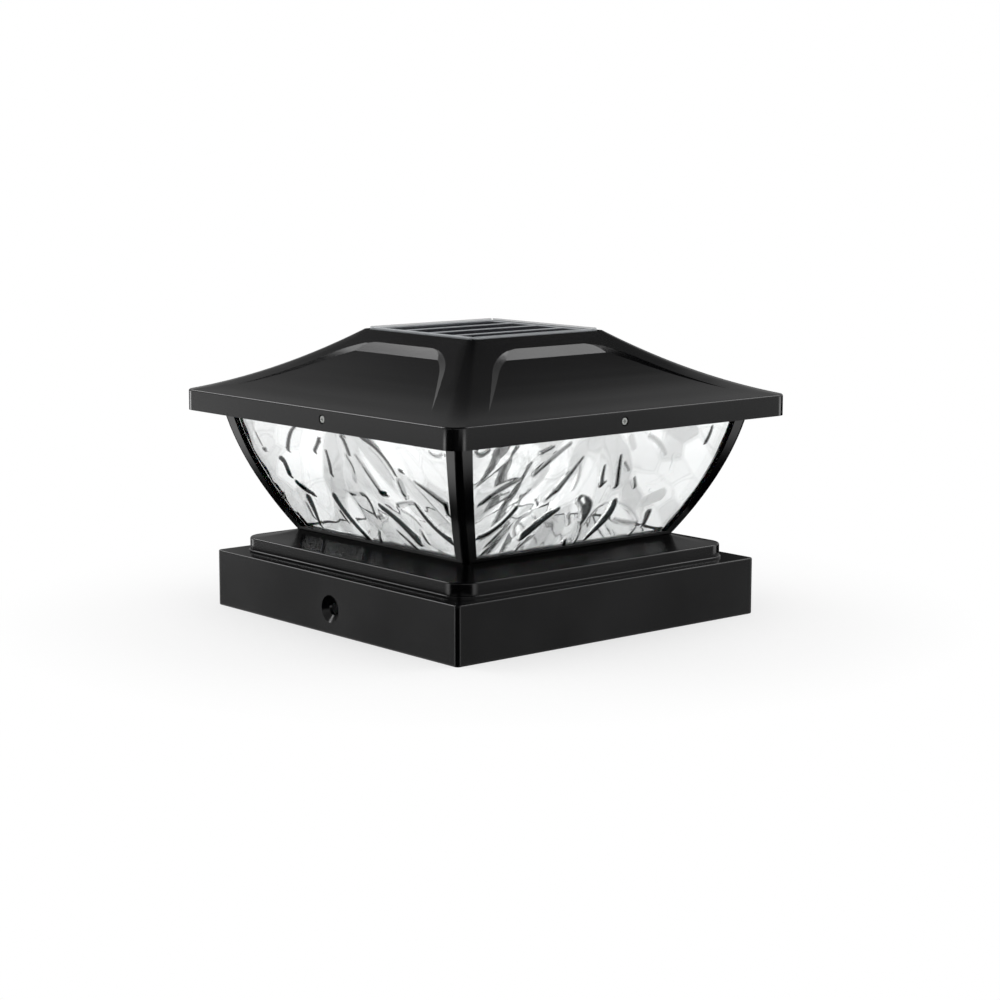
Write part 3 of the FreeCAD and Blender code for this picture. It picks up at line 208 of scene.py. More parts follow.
def seen_rays(tree):
    """One for rays from the camera or through the panes, otherwise zero."""
    path = add_node(tree, "ShaderNodeLightPath")
    both = add_node(tree, "ShaderNodeMath", {
        0: path.outputs["Is Camera Ray"], 1: path.outputs["Is Transmission Ray"]},
        operation="MAXIMUM")
    return both.outputs[0]


def backdrop_level(tree):
    """The lit backdrop is over-exposed, so it is brighter than white through the panes."""
    path = add_node(tree, "ShaderNodeLightPath")
    level = add_node(tree, "ShaderNodeMapRange", {
        "Value": path.outputs["Is Camera Ray"], "To Min": BACKDROP_EXPOSURE, "To Max": 1.0})
    return level.outputs["Result"]


def studio_floor():
    """Paper that keeps the shadow near the skirt, and is plain white where it is seen far off."""
    material = bpy.data.materials.new("studio_paper")
    material.use_nodes = True
    tree = material.node_tree
    tree.nodes.remove(tree.nodes["Principled BSDF"])
    paper = add_node(tree, "ShaderNodeBsdfDiffuse", {"Color": colour("#f4f4f4")})
    glow = add_node(tree, "ShaderNodeEmission", {
        "Color": (1, 1, 1, 1), "Strength": backdrop_level(tree)})
    place = add_node(tree, "ShaderNodeTexCoord")
    reach = add_node(tree, "ShaderNodeVectorMath", {0: place.outputs["Object"]},
                     operation="LENGTH")
    paler = add_node(tree, "ShaderNodeMapRange", {
        "Value": reach.outputs["Value"], "From Min": SKIRT_HALF, "From Max": FLOOR_WHITE_FROM,
        "To Min": FLOOR_SHARE_NEAR, "To Max": 1.0})
    outside = add_node(tree, "ShaderNodeMath", {
        0: reach.outputs["Value"], 1: SKIRT_HALF - FLOOR_TUCK}, operation="GREATER_THAN")
    shown = add_node(tree, "ShaderNodeMath", {
        0: paler.outputs["Result"], 1: outside.outputs[0]}, operation="MULTIPLY")
    share = add_node(tree, "ShaderNodeMath", {0: seen_rays(tree), 1: shown.outputs[0]},
                     operation="MULTIPLY")
    both = add_node(tree, "ShaderNodeMixShader", {
        0: share.outputs[0], 1: paper.outputs["BSDF"], 2: glow.outputs["Emission"]})
    output = tree.nodes["Material Output"]
    tree.links.new(both.outputs[0], output.inputs["Surface"])
    return material


bpy.ops.mesh.primitive_plane_add(size=2 * FLOOR_HALF, location=(0, 0, 0))
floor = bpy.context.active_object
floor.name = "studio_floor"
floor.data.materials.append(studio_floor())
floor.visible_glossy = False
deselect_all()
print("floor", tuple(floor.dimensions))

# %% World
# Each wall is a row of (place, brightness) stops. Its place is how far the way points to the
# left, or up for the fall, from -1 to 1. The ranges after them are of how far it points up:
# where the high walls fade, where the dark above starts, and where one wall blends to the next.
ROOM_LIGHT = 0.45
ROOM_TURN = math.radians(40.0)
LEFTWARDS = (-math.cos(ROOM_TURN), -math.sin(ROOM_TURN), 0.0)
LOW_GAIN = 4.5
LOW_WALLS = ((-1.0, 0.13), (-0.975, 0.13), (-0.94, 0.75), (-0.87, 0.75), (-0.8, 0.0),
             (0.8, 0.0), (0.87, 1.0), (0.94, 1.0), (0.975, 0.19), (1.0, 0.19))
LOW_FALL = ((-1.0, 0.35), (-0.35, 0.35), (-0.2, 0.2), (-0.1, 1.0), (0.0, 1.0))
HORIZON_WALLS = ((-1.0, 0.75), (-0.35, 0.6), (-0.04, 0.4), (0.06, 0.02), (0.24, 0.02),
                 (0.32, 0.38), (0.5, 0.5), (0.8, 0.2), (1.0, 0.1))
HIGH_WALLS = ((-1.0, 0.25), (-0.35, 0.32), (-0.12, 0.36), (0.04, 0.24), (0.27, 0.24),
              (0.39, 0.18), (0.455, 0.28), (1.0, 0.34))
HIGH_FALL = {"From Min": 0.48, "From Max": 0.62, "To Min": 1.0, "To Max": 0.28}
ROOF_DARK = {"From Min": 0.8, "From Max": 0.9, "To Min": 1.0, "To Max": 0.0}
HORIZON_BLEND = {"From Min": -0.05, "From Max": 0.03}
HIGH_BLEND = {"From Min": 0.28, "From Max": 0.42}


def wall_ramp(tree, across, walls):
    """Brightness of the studio walls from one side to the other, as a ramp from -1 to 1."""
    place = add_node(tree, "ShaderNodeMapRange", {"Value": across, "From Min": -1.0})
    ramp = add_node(tree, "ShaderNodeValToRGB", {"Fac": place.outputs["Result"]})
    stops = ramp.color_ramp.elements
    while len(stops) < len(walls):
        stops.new(0.5)
    for stop, (side, level) in zip(stops, walls):
        stop.position = (side + 1.0) / 2.0
        stop.color = (level, level, level, 1.0)
    return ramp.outputs["Color"]


def mirrored_room(tree):
    """What mirror rays find: three bands of walls, and darkness straight above."""
    way = add_node(tree, "ShaderNodeTexCoord").outputs["Object"]
    across = add_node(tree, "ShaderNodeVectorMath", {0: way, 1: LEFTWARDS},
                      operation="DOT_PRODUCT").outputs["Value"]
    up = add_node(tree, "ShaderNodeSeparateXYZ", {0: way}).outputs["Z"]
    near_walls = add_node(tree, "ShaderNodeMath", {
        0: wall_ramp(tree, across, LOW_WALLS), 1: wall_ramp(tree, up, LOW_FALL)},
        operation="MULTIPLY")
    low = add_node(tree, "ShaderNodeMath", {0: near_walls.outputs[0], 1: LOW_GAIN},
                   operation="MULTIPLY")
    high_fall = add_node(tree, "ShaderNodeMapRange", {"Value": up, **HIGH_FALL})
    roof_dark = add_node(tree, "ShaderNodeMapRange", {"Value": up, **ROOF_DARK})
    fall = add_node(tree, "ShaderNodeMath", {
        0: high_fall.outputs["Result"], 1: roof_dark.outputs["Result"]}, operation="MULTIPLY")
    high = add_node(tree, "ShaderNodeMath", {
        0: wall_ramp(tree, across, HIGH_WALLS), 1: fall.outputs[0]}, operation="MULTIPLY")
    over_horizon = add_node(tree, "ShaderNodeMapRange", {"Value": up, **HORIZON_BLEND})
    over_walls = add_node(tree, "ShaderNodeMapRange", {"Value": up, **HIGH_BLEND})
    lower = add_node(tree, "ShaderNodeMix", {
        0: over_horizon.outputs["Result"], 2: low.outputs[0],
        3: wall_ramp(tree, across, HORIZON_WALLS)}, data_type="FLOAT")
    whole = add_node(tree, "ShaderNodeMix", {
        0: over_walls.outputs["Result"], 2: lower.outputs[0], 3: high.outputs[0]},
        data_type="FLOAT")
    return whole.outputs[0]


world = bpy.data.worlds.new("studio_world")
bpy.context.scene.world = world
world.use_nodes = True
world_tree = world.node_tree
light_path = add_node(world_tree, "ShaderNodeLightPath")
unseen = add_node(world_tree, "ShaderNodeMix", {
    0: light_path.outputs["Is Glossy Ray"], 2: ROOM_LIGHT, 3: mirrored_room(world_tree)},
    data_type="FLOAT")
strength = add_node(world_tree, "ShaderNodeMix", {
    0: seen_rays(world_tree), 2: unseen.outputs[0], 3: backdrop_level(world_tree)},
    data_type="FLOAT")
background = world_tree.nodes["Background"]
background.inputs["Color"].default_value = (1, 1, 1, 1)
world_tree.links.new(strength.outputs[0], background.inputs["Strength"])
print("world ready")

# %% Lamps
LAMP_DISTANCE = 1.1


def soft_lamp(name, azimuth, elevation, size, brightness):
    """A square area lamp that looks at the lantern from the given direction, in degrees."""
    data = bpy.data.lights.new(name, "AREA")
    data.shape = "SQUARE"
    data.size = size
    data.energy = brightness * math.pi * size ** 2
    lamp = bpy.data.objects.new(name, data)
    bpy.context.scene.collection.objects.link(lamp)
    way = Vector((
        math.sin(math.radians(azimuth)) * math.cos(math.radians(elevation)),
        -math.cos(math.radians(azimuth)) * math.cos(math.radians(elevation)),
        math.sin(math.radians(elevation)),
    ))
    lamp.location = AIM + way * LAMP_DISTANCE
    lamp.rotation_euler = (-way).to_track_quat("-Z", "Y").to_euler()
    return lamp


soft_lamp("left_softbox", azimuth=-64.0, elevation=37.0, size=0.6, brightness=3.9)
soft_lamp("right_softbox", azimuth=157.0, elevation=41.0, size=0.6, brightness=3.1)
top_softbox = soft_lamp("top_softbox", azimuth=50.0, elevation=80.0, size=0.7, brightness=1.6)
top_softbox.visible_glossy = False
print("three soft lamps")

# %% [markdown]
# ## Other finishes
# Each hidden or small part has its own real material, in a line or two: what it is and how it
# was made, its two close tones, the size over which they wander, its gloss, and how high its
# texture stands in millimetres. The lantern's floor is the one that shows: a pearl lacquer
# over white ABS, which mirrors the backdrop as a bright strip at the feet of the panes.

# %% Plain moulded and rubbery finishes


def speckled(name, code, other, size_mm, roughness, lift=0.0, **surface):
    """A finish whose colour and height wander between two close tones at one real size."""
    material, tree, shader = new_material(name, Roughness=roughness, **surface)
    place = add_node(tree, "ShaderNodeTexCoord")
    noise = add_node(tree, "ShaderNodeTexNoise", {
        "Vector": place.outputs["Object"], "Scale": per_metre(size_mm), "Detail": 3.0})
    mix = add_node(tree, "ShaderNodeMix", {
        0: noise.outputs["Fac"], 6: colour(code), 7: colour(other)}, data_type="RGBA")
    tree.links.new(mix.outputs[2], shader.inputs["Base Color"])
    if lift:
        bump = add_node(tree, "ShaderNodeBump", {
            "Height": noise.outputs["Fac"], "Strength": 1.0, "Distance": mm(lift)})
        tree.links.new(bump.outputs["Normal"], shader.inputs["Normal"])
    return material


# Moulded ABS is even and satin. The lacquer mirrors sharply, under a hard clear coat.
white_abs = speckled("white_abs_moulded", "#eceeee", "#f6f7f7", 6.0, 0.45, 0.01, IOR=1.54)
polished_white = speckled("white_pearl_lacquered", "#f2f3f3", "#f8f8f8", 8.0, 0.1, IOR=1.7,
                          Metallic=0.6, Coat_Weight=1.0, Coat_Roughness=0.03,
                          Coat_IOR=2.0)
# Opal acrylic is milky: light goes a millimetre in and spreads, so it has no hard shade.
opal_acrylic = speckled("opal_acrylic_moulded", "#f1f2f0", "#fbfbf8", 9.0, 0.35,
                        IOR=1.49, Subsurface_Weight=0.3, Subsurface_Scale=mm(1.0))
# Cut foam is dull and pitted. Moulded silicone is smoother with a soft sheen, and a bead of
# sealant glossier still.
black_foam = speckled("polyethylene_foam_cut", "#141414", "#242424", 0.5, 0.9, 0.08)
silicone_rubber = speckled("silicone_rubber_moulded", "#19191a", "#202021", 1.5, 0.6, 0.01)
sealant = speckled("silicone_sealant_cured", "#3a3b3d", "#48494b", 3.0, 0.4, 0.05)
# Epoxy is fine and matt, and ferrite dry and rough. Shrunk sleeve and wrap are glossy film,
# and polypropylene is waxy.
epoxy = speckled("epoxy_moulded_black", "#141416", "#1c1c1f", 0.4, 0.55, 0.01)
ferrite = speckled("ferrite_sintered", "#2a2a2b", "#38383a", 0.4, 0.7, 0.02)
sleeve = speckled("shrink_sleeve_dark", "#161d33", "#1b2440", 4.0, 0.3)
holder_plastic = speckled("polypropylene_moulded", "#131313", "#1b1b1c", 0.6, 0.5, 0.01)
battery_wrap = speckled("shrink_wrap_green", "#1e6b3a", "#237843", 12.0, 0.28, 0.02)
# Extruded vinyl has a smooth, soft gloss, and solder mask the same over its board. The
# phosphor on a lamp chip is a yellow gel.
wire_red = speckled("vinyl_red_extruded", "#a01a17", "#b0211d", 3.0, 0.35)
wire_black = speckled("vinyl_black_extruded", "#101010", "#1a1a1a", 3.0, 0.35)
solder_mask = speckled("solder_mask_green", "#0d4a26", "#10592e", 2.0, 0.35, 0.01)
led_phosphor = speckled("lamp_phosphor_yellow", "#e6d27a", "#f0e6b0", 1.2, 0.4)
# Black glass fibre board has a faint grain. Printed silver paste is pale and matt.
backing_board = speckled("glass_fibre_black", "#0b0b0d", "#151518", 0.8, 0.5, 0.01)
silver_paste = speckled("silver_paste_printed", "#b2b5b8", "#bcbfc2", 0.5, 0.6, 0.004)
print("plain finishes made")

# %% Metals
# Each metal: its colour, its roughness, and the size and height of its marks in millimetres.
# Zinc plating is a soft grey and black oxide a dull dark one. Drawn wire is smooth, and nickel
# plated strip is the brightest and a little warm.
METAL_SPREAD = 0.3


def metal(name, code, roughness, streak_mm, streak_lift):
    """A metal with fine marks left by its tool or its plating bath."""
    material, tree, shader = new_material(name, Metallic=1.0)
    shader.inputs["Base Color"].default_value = colour(code)
    place = add_node(tree, "ShaderNodeTexCoord")
    noise = add_node(tree, "ShaderNodeTexNoise", {
        "Vector": place.outputs["Object"], "Scale": per_metre(streak_mm), "Detail": 4.0})
    rough = add_node(tree, "ShaderNodeMapRange", {
        "Value": noise.outputs["Fac"], "To Min": roughness * (1.0 - METAL_SPREAD),
        "To Max": roughness * (1.0 + METAL_SPREAD)})
    bump = add_node(tree, "ShaderNodeBump", {
        "Height": noise.outputs["Fac"], "Strength": 1.0, "Distance": mm(streak_lift)})
    tree.links.new(rough.outputs["Result"], shader.inputs["Roughness"])
    tree.links.new(bump.outputs["Normal"], shader.inputs["Normal"])
    return material


zinc_steel = metal("steel_zinc_plated", "#b9bbb8", 0.35, 0.4, 0.006)
black_steel = metal("steel_black_oxide", "#6f7073", 0.35, 0.4, 0.006)
spring_steel = metal("steel_drawn_wire", "#c3c4c6", 0.22, 0.3, 0.003)
nickel = metal("strip_nickel_plated", "#cfcdc6", 0.2, 0.8, 0.003)
print("metals made")

# %% [markdown]
# ## Solar cells
# The cells are sawn from polished silicon with a dark blue-black coating, and thin silver
# fingers are printed across them to collect the current. Real fingers are 0.05 mm wide and
# 2 mm apart. They are drawn 0.12 mm wide so that they show. The clear sheet over them is too
# thin to bend what lies under it, so it is let through and not refracted. A pale band along
# its edge, more solid than the rest, is a painted highlight.

# %% Solar panel finishes
FINGER_PITCH = 2.0
FINGER_SHARE = 0.06
CRYSTAL_MM = 5.0
PAINTED_EDGE_BAND = mm(0.6)
SHEET_OPACITY = 0.05
PAINTED_EDGE_OPACITY = 0.6


def square_reach(tree, split):
    """How far a point is from the roof's middle, measured squarely."""
    sides = [add_node(tree, "ShaderNodeMath", {0: split.outputs[axis]}, operation="ABSOLUTE")
             for axis in ("X", "Y")]
    return add_node(tree, "ShaderNodeMath", {0: sides[0].outputs[0], 1: sides[1].outputs[0]},
                    operation="MAXIMUM").outputs[0]


def solar_silicon():
    """Dark polished silicon in large crystals, with printed silver fingers."""
    material, tree, shader = new_material("silicon_coated_polished", Roughness=0.12, IOR=1.9)
    shader.inputs["Specular IOR Level"].default_value = 0.2
    place = add_node(tree, "ShaderNodeTexCoord")
    split = add_node(tree, "ShaderNodeSeparateXYZ", {0: place.outputs["Object"]})
    along = add_node(tree, "ShaderNodeMath", {
        0: split.outputs["Y"], 1: per_metre(FINGER_PITCH)}, operation="MULTIPLY")
    wave = add_node(tree, "ShaderNodeMath", {0: along.outputs[0]}, operation="FRACT")
    line = add_node(tree, "ShaderNodeMath", {
        0: wave.outputs[0], 1: FINGER_SHARE}, operation="LESS_THAN")
    grain = add_node(tree, "ShaderNodeTexVoronoi", {
        "Vector": place.outputs["Object"], "Scale": per_metre(CRYSTAL_MM)})
    silicon = add_node(tree, "ShaderNodeMix", {
        0: grain.outputs["Distance"], 6: colour("#05070f"), 7: colour("#0b1022")},
        data_type="RGBA")
    fingers = add_node(tree, "ShaderNodeMix", {
        0: line.outputs[0], 6: silicon.outputs[2], 7: colour("#5c5f65")}, data_type="RGBA")
    tree.links.new(fingers.outputs[2], shader.inputs["Base Color"])
    return material


def clear_sheet():
    """A clear sheet too thin to bend what lies under it, with a painted highlight along its edge.
    """
    material, tree, shader = new_material("polycarbonate_clear_sheet", Roughness=0.1)
    place = add_node(tree, "ShaderNodeTexCoord")
    split = add_node(tree, "ShaderNodeSeparateXYZ", {0: place.outputs["Object"]})
    # A band along the edge is painted pale grey and more solid, as a painted highlight.
    edge = add_node(tree, "ShaderNodeMath", {
        0: square_reach(tree, split), 1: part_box("panel_cover")[1].x - PAINTED_EDGE_BAND},
        operation="GREATER_THAN")
    solid = add_node(tree, "ShaderNodeMapRange", {
        "Value": edge.outputs[0], "To Min": SHEET_OPACITY, "To Max": PAINTED_EDGE_OPACITY})
    tree.links.new(solid.outputs["Result"], shader.inputs["Alpha"])
    tint = add_node(tree, "ShaderNodeMix", {
        0: edge.outputs[0], 6: colour("#08090a"), 7: colour("#c9cdd0")}, data_type="RGBA")
    tree.links.new(tint.outputs[2], shader.inputs["Base Color"])
    return material


def clear_moulding(name, code, shadow_code, roughness, ior):
    """Clear plastic that bends what is seen through it, and lets lamp light pass."""
    material, tree, shader = new_material(name, Roughness=roughness, IOR=ior,
                                          Transmission_Weight=1.0)
    shader.inputs["Base Color"].default_value = colour(code)
    path = add_node(tree, "ShaderNodeLightPath")
    clear = add_node(tree, "ShaderNodeBsdfTransparent", {"Color": colour(shadow_code)})
    both = add_node(tree, "ShaderNodeMixShader", {
        0: path.outputs["Is Shadow Ray"], 1: shader.outputs["BSDF"], 2: clear.outputs["BSDF"]})
    tree.links.new(both.outputs[0], tree.nodes["Material Output"].inputs["Surface"])
    return material, tree, shader


silicon = solar_silicon()
cover_plastic = clear_sheet()
print("solar finishes made")

# %% [markdown]
# ## Dressing the CAD parts
# Most CAD parts already have the real shape, with their fillets and screw recesses, so they
# stay, and only their material changes.

# %% Give each CAD node its material
FINISHES = {
    black_abs: ("post_skirt", "plinth", "lantern_frame", "roof_shell"),
    white_abs: ("ceiling_tray",),
    polished_white: ("lantern_floor",),
    opal_acrylic: ("diffuser",),
    black_foam: ("pane_gasket", "foam_tape"),
    silicone_rubber: ("button_cap",),
    sealant: ("panel_sealant",),
    backing_board: ("panel_backing",),
    silicon: ("solar_cells",),
    silver_paste: ("solar_busbars",),
    cover_plastic: ("panel_cover",),
    solder_mask: ("control_board",),
    led_phosphor: ("led_chips",),
    epoxy: ("control_chip", "switch_case", "switch_plunger"),
    ferrite: ("inductor",),
    sleeve: ("capacitor",),
    holder_plastic: ("battery_holder",),
    nickel: ("battery_contacts",),
    battery_wrap: ("battery",),
    spring_steel: ("battery_spring", "switch_dome"),
    wire_red: ("panel_wire_plus", "battery_wire_plus"),
    wire_black: ("panel_wire_minus", "battery_wire_minus"),
    black_steel: ("soffit_screws",),
    zinc_steel: ("rim_screws", "skirt_screws", "board_screws"),
}
for material, names in FINISHES.items():
    for name in names:
        for material_slot in nodes[name].material_slots:
            material_slot.material = material
print("dressed", sum(len(names) for names in FINISHES.values()), "CAD nodes")

# %% [markdown]
# ## Soft shading on the roof
# The sunk fields of the roof are a hollow curve that the CAD cuts in flat strips, a few degrees
# apart. Where corner normals at one spot differ that little they are averaged, so the strips
# shade as one curve. Bevels and edges differ by more, and stay crisp.

# %% Average the small breaks
SMALL_BREAK = math.radians(9.0)
MICRONS_PER_METRE = 1e6


def average_small_breaks(node):
    """Sets the averaged normals on a mesh, and gives the number of separate spots."""
    mesh = node.data
    places = np.empty(len(mesh.vertices) * 3)
    mesh.vertices.foreach_get("co", places)
    corners = np.empty(len(mesh.loops), int)
    mesh.loops.foreach_get("vertex_index", corners)
    normals = np.empty(len(mesh.loops) * 3)
    mesh.corner_normals.foreach_get("vector", normals)
    normals = normals.reshape(-1, 3)
    microns = np.round(places.reshape(-1, 3) * MICRONS_PER_METRE).astype(int)
    spots = np.unique(microns, axis=0, return_inverse=True)[1].ravel()[corners]
    order = np.argsort(spots, kind="stable")
    breaks = np.flatnonzero(np.diff(spots[order])) + 1
    softened = normals.copy()
    for group in np.split(order, breaks):
        near = normals[group] @ normals[group].T > math.cos(SMALL_BREAK)
        total = near @ normals[group]
        softened[group] = total / np.linalg.norm(total, axis=1, keepdims=True)
    mesh.shade_smooth()
    mesh.normals_split_custom_set(softened.tolist())
    return len(breaks) + 1


print("roof spots", average_small_breaks(nodes["roof_shell"]))

# %% [markdown]
# ## Rippled panes
# Each pane is moulded in clear plastic, smooth outside and covered inside with long leaf
# shaped hollows that fan out from the middle of its top. The hollows are real shape: a fine
# grid is bent to the CAD pane's bowed face, given its thickness, and its inner face is then
# pushed in by the pattern, so they bend what is behind the lantern into pale facets. Over
# that, shade is painted: grey tones on the facets, faint outlines between leaves, and dark
# strokes where steep edges would catch the black frame. How dark each point looks from outside
# is kept on the mesh as an attribute. The boldest strokes are listed grooves with painted
# shade over them, front and right pane each with their own. The back and left panes are
# turned copies.

# %% Measure the CAD pane
ROWS = 24
BACKWARDS = Vector((0, 1, 0))
BESIDE_MIDDLE = mm(0.5)
IN_FRONT = -0.2
MICRON = 1e-6


def pane_section(height):
    """Outer and inner face of the front CAD pane at one height, measured from the middle."""
    pane = nodes["pane_front"]
    outside = pane.ray_cast(Vector((BESIDE_MIDDLE, IN_FRONT, height)), BACKWARDS)[1]
    inside = pane.ray_cast(outside + BACKWARDS * MICRON, BACKWARDS)[1]
    return -outside.y, -inside.y


pane_low, pane_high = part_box("pane_front")
heights = np.linspace(pane_low.z + MICRON, pane_high.z - MICRON, ROWS)
sections = np.array([pane_section(height) for height in heights])
print("pane outer face %.1f to %.1f mm from the middle" % (
    in_mm(sections[0, 0]), in_mm(sections[-1, 0])))

# %% The leaf pattern, in millimetres along the pane and up it
LEAF_PITCH_ACROSS = 10.5
LEAF_PITCH_UP = 13.0
LEAF_HALF_LONG = 13.0
LEAF_HALF_WIDE = 4.8
LEAF_DEPTH = 0.38
LEAF_BLEND = 5.0
SHADE_BLEND = 5.0
LEAF_BORDER = 0.06
PAINTED_LEAF_OUTLINE = 0.05
LEAF_SHADE = 0.2
FAN_REACH = 26.0
FAN_LEAN = math.radians(52.0)
LEAN_SPREAD = math.radians(14.0)
GRID_SHAKE = 0.45
FIRST_COLUMN = 0.5
FIRST_ROW = 0.6
SPARE_LINES = 3
LEAF_SIZES = (0.65, 1.35)
LEAF_DEPTHS = (0.4, 1.0)
SHADE_POWER = 1.3
HOLLOW_END = 1.3
FAR_OFF = 9.0
NOT_ZERO = 1e-12


def leaf_seeds(dice, half_wide, tall):
    """Middle, lean, size, depth and shade of each leaf hollow, on a shaken grid."""
    leaves = []
    columns = int(2 * half_wide / LEAF_PITCH_ACROSS) + SPARE_LINES
    rows = int(tall / LEAF_PITCH_UP) + SPARE_LINES
    for column in range(columns):
        for row in range(rows):
            step = column - FIRST_COLUMN + 0.5 * (row % 2)
            across = -half_wide + step * LEAF_PITCH_ACROSS
            across += dice.uniform(-GRID_SHAKE, GRID_SHAKE) * LEAF_PITCH_ACROSS
            up = (row - FIRST_ROW + dice.uniform(-GRID_SHAKE, GRID_SHAKE)) * LEAF_PITCH_UP
            lean = FAN_LEAN * min(max(across / FAN_REACH, -1.0), 1.0)
            lean += dice.normal(0.0, LEAN_SPREAD)
            # Each leaf's shade is a painted grey tone that stands for a refracted facet.
            shade = LEAF_SHADE * dice.uniform() ** SHADE_POWER
            size = dice.uniform(*LEAF_SIZES)
            leaves.append((across, up, lean, size, dice.uniform(*LEAF_DEPTHS), shade))
    return leaves


def leaf_field(across, up, leaves):
    """Depth and painted shade at points on the pane. Hollows and painted shades run into each
    other, and a faint painted dark outline runs along the border between two leaves."""
    nearest = np.full(across.shape, FAR_OFF)
    second = np.full(across.shape, FAR_OFF)
    totals = np.zeros((2,) + across.shape)
    depth = np.zeros(across.shape)
    shade = np.zeros(across.shape)
    for middle, level, lean, size, deep, tone in leaves:
        away = across - middle
        rise = up - level
        along = (-away * math.sin(lean) + rise * math.cos(lean)) / (LEAF_HALF_LONG * size)
        aside = (away * math.cos(lean) + rise * math.sin(lean)) / LEAF_HALF_WIDE
        reach = np.sqrt(along ** 2 + aside ** 2)
        weight = np.exp(-LEAF_BLEND * reach ** 2)
        share = np.exp(-SHADE_BLEND * reach ** 2) + NOT_ZERO
        totals += (weight, share)
        depth += weight * deep * (1.0 - np.minimum(reach, HOLLOW_END) ** 2 / HOLLOW_END ** 2)
        shade += share * tone
        second = np.where(reach < nearest, nearest, np.minimum(second, reach))
        nearest = np.minimum(nearest, reach)
    # A thin band of painted shade runs beside each border between leaves.
    beside = np.exp(-((second - nearest - 2 * LEAF_BORDER) / LEAF_BORDER) ** 2)
    return depth / totals[0] * LEAF_DEPTH, shade / totals[1] + PAINTED_LEAF_OUTLINE * beside


# %% The bold strokes of the front and right panes
# Each stroke is a groove under a painted dark stroke: its path as (along, up) points, its width
# at each of them, and its darkness of painted shade.
# Sizes are in millimetres, and a path is measured from the middle of the pane's foot.
# RIGHT_TONE pales all of the right pane's strokes.
FRONT_STROKES = (
    (((-39.3, 25.6), (-37.2, 25.2), (-36.6, 20.8)), (0.8, 2.2, 2.3), 1.0),
    (((-34.1, 17.8), (-30.5, 16.0), (-26.4, 14.7)), (1.6, 1.7, 0.8), 1.0),
    (((-30.6, 12.4), (-30.8, 8.0), (-32.2, 2.6)), (2.9, 2.0, 0.7), 1.0),
    (((-34.0, 10.6), (-33.8, 5.8)), (0.8, 1.2), 0.4),
    (((-14.2, 15.0), (-11.3, 8.4), (-5.6, 0.6)), (2.6, 2.4, 1.9), 0.95),
    (((-15.0, 9.8), (-13.8, 6.6)), (1.2, 0.9), 0.45),
    (((-10.3, 31.4), (-10.2, 27.5), (-11.2, 23.6)), (0.8, 1.5, 1.1), 0.85),
    (((-12.6, 34.8), (-14.2, 33.2), (-16.8, 30.8)), (1.9, 1.4, 1.4), 0.7),
    (((-24.8, 38.2), (-28.8, 35.2), (-32.4, 29.9)), (0.8, 1.5, 1.9), 0.75),
    (((-47.6, 28.2), (-45.9, 28.4)), (0.8, 0.8), 0.8),
    (((-50.5, 37.6), (-49.9, 34.0), (-48.0, 29.6)), (0.7, 1.2, 0.8), 0.25),
    (((-46.6, 12.0), (-45.0, 12.7)), (0.9, 0.8), 0.6),
    (((0.2, 37.4), (1.6, 35.9), (2.5, 32.0)), (1.2, 1.6, 1.8), 0.65),
    (((0.8, 31.0), (2.4, 27.0), (1.4, 23.0)), (2.0, 1.4, 2.2), 0.28),
    (((5.8, 31.6), (9.4, 27.2), (13.0, 21.4)), (1.2, 2.2, 2.2), 0.35),
    (((13.3, 20.0), (16.2, 20.0)), (1.3, 1.0), 1.0),
    (((10.2, 14.9), (17.0, 10.6), (22.6, 4.9)), (1.5, 2.4, 3.6), 0.92),
    (((19.4, 8.2), (21.8, 5.9)), (0.6, 1.4), 0.6),
    (((-7.2, 18.4), (-3.0, 17.9), (1.4, 18.3)), (0.5, 0.7, 0.5), 0.3),
    (((1.8, 18.2), (4.8, 16.6), (4.7, 10.8)), (0.8, 1.2, 0.8), 0.6),
    (((6.2, 10.6), (9.0, 11.4)), (0.8, 0.7), 0.6),
    (((0.6, 0.8), (1.4, 3.0), (2.8, 4.9)), (1.4, 1.0, 0.7), 0.7),
    (((11.4, 38.4), (19.8, 34.2), (24.8, 27.4)), (1.4, 1.3, 0.8), 0.75),
    (((14.4, 35.0), (19.0, 31.6), (23.0, 25.6)), (0.5, 0.6, 0.5), 0.3),
    (((27.8, 29.1), (29.0, 28.8)), (0.9, 0.8), 0.75),
    (((26.2, 24.6), (26.4, 21.8)), (3.6, 3.2), 0.3),
    (((31.7, 26.4), (38.0, 20.4), (44.6, 13.4)), (0.5, 0.7, 0.5), 0.3),
    (((34.0, 26.0), (40.5, 23.4), (47.2, 20.0)), (0.6, 1.8, 2.2), 0.45),
    (((46.6, 19.6), (46.2, 17.0)), (1.8, 1.4), 0.95),
    (((30.4, 18.2), (33.2, 13.6), (36.8, 9.8), (41.4, 7.0)), (0.8, 1.6, 1.5, 1.9), 0.95),
    (((20.2, 16.6), (24.6, 17.8), (29.6, 18.6)), (0.9, 0.6, 0.5), 0.5),
    (((21.4, 14.8), (25.6, 13.4), (28.2, 10.6)), (0.5, 0.8, 0.5), 0.3),
    (((27.2, 8.2), (27.6, 5.0)), (1.6, 1.2), 0.35),
    (((46.0, 37.0), (49.0, 36.1), (52.2, 36.8)), (0.6, 0.7, 0.6), 0.45),
    (((13.8, 6.6), (17.0, 4.0), (20.4, 0.6)), (1.0, 1.5, 1.2), 0.4),
)
RIGHT_TONE = 0.84
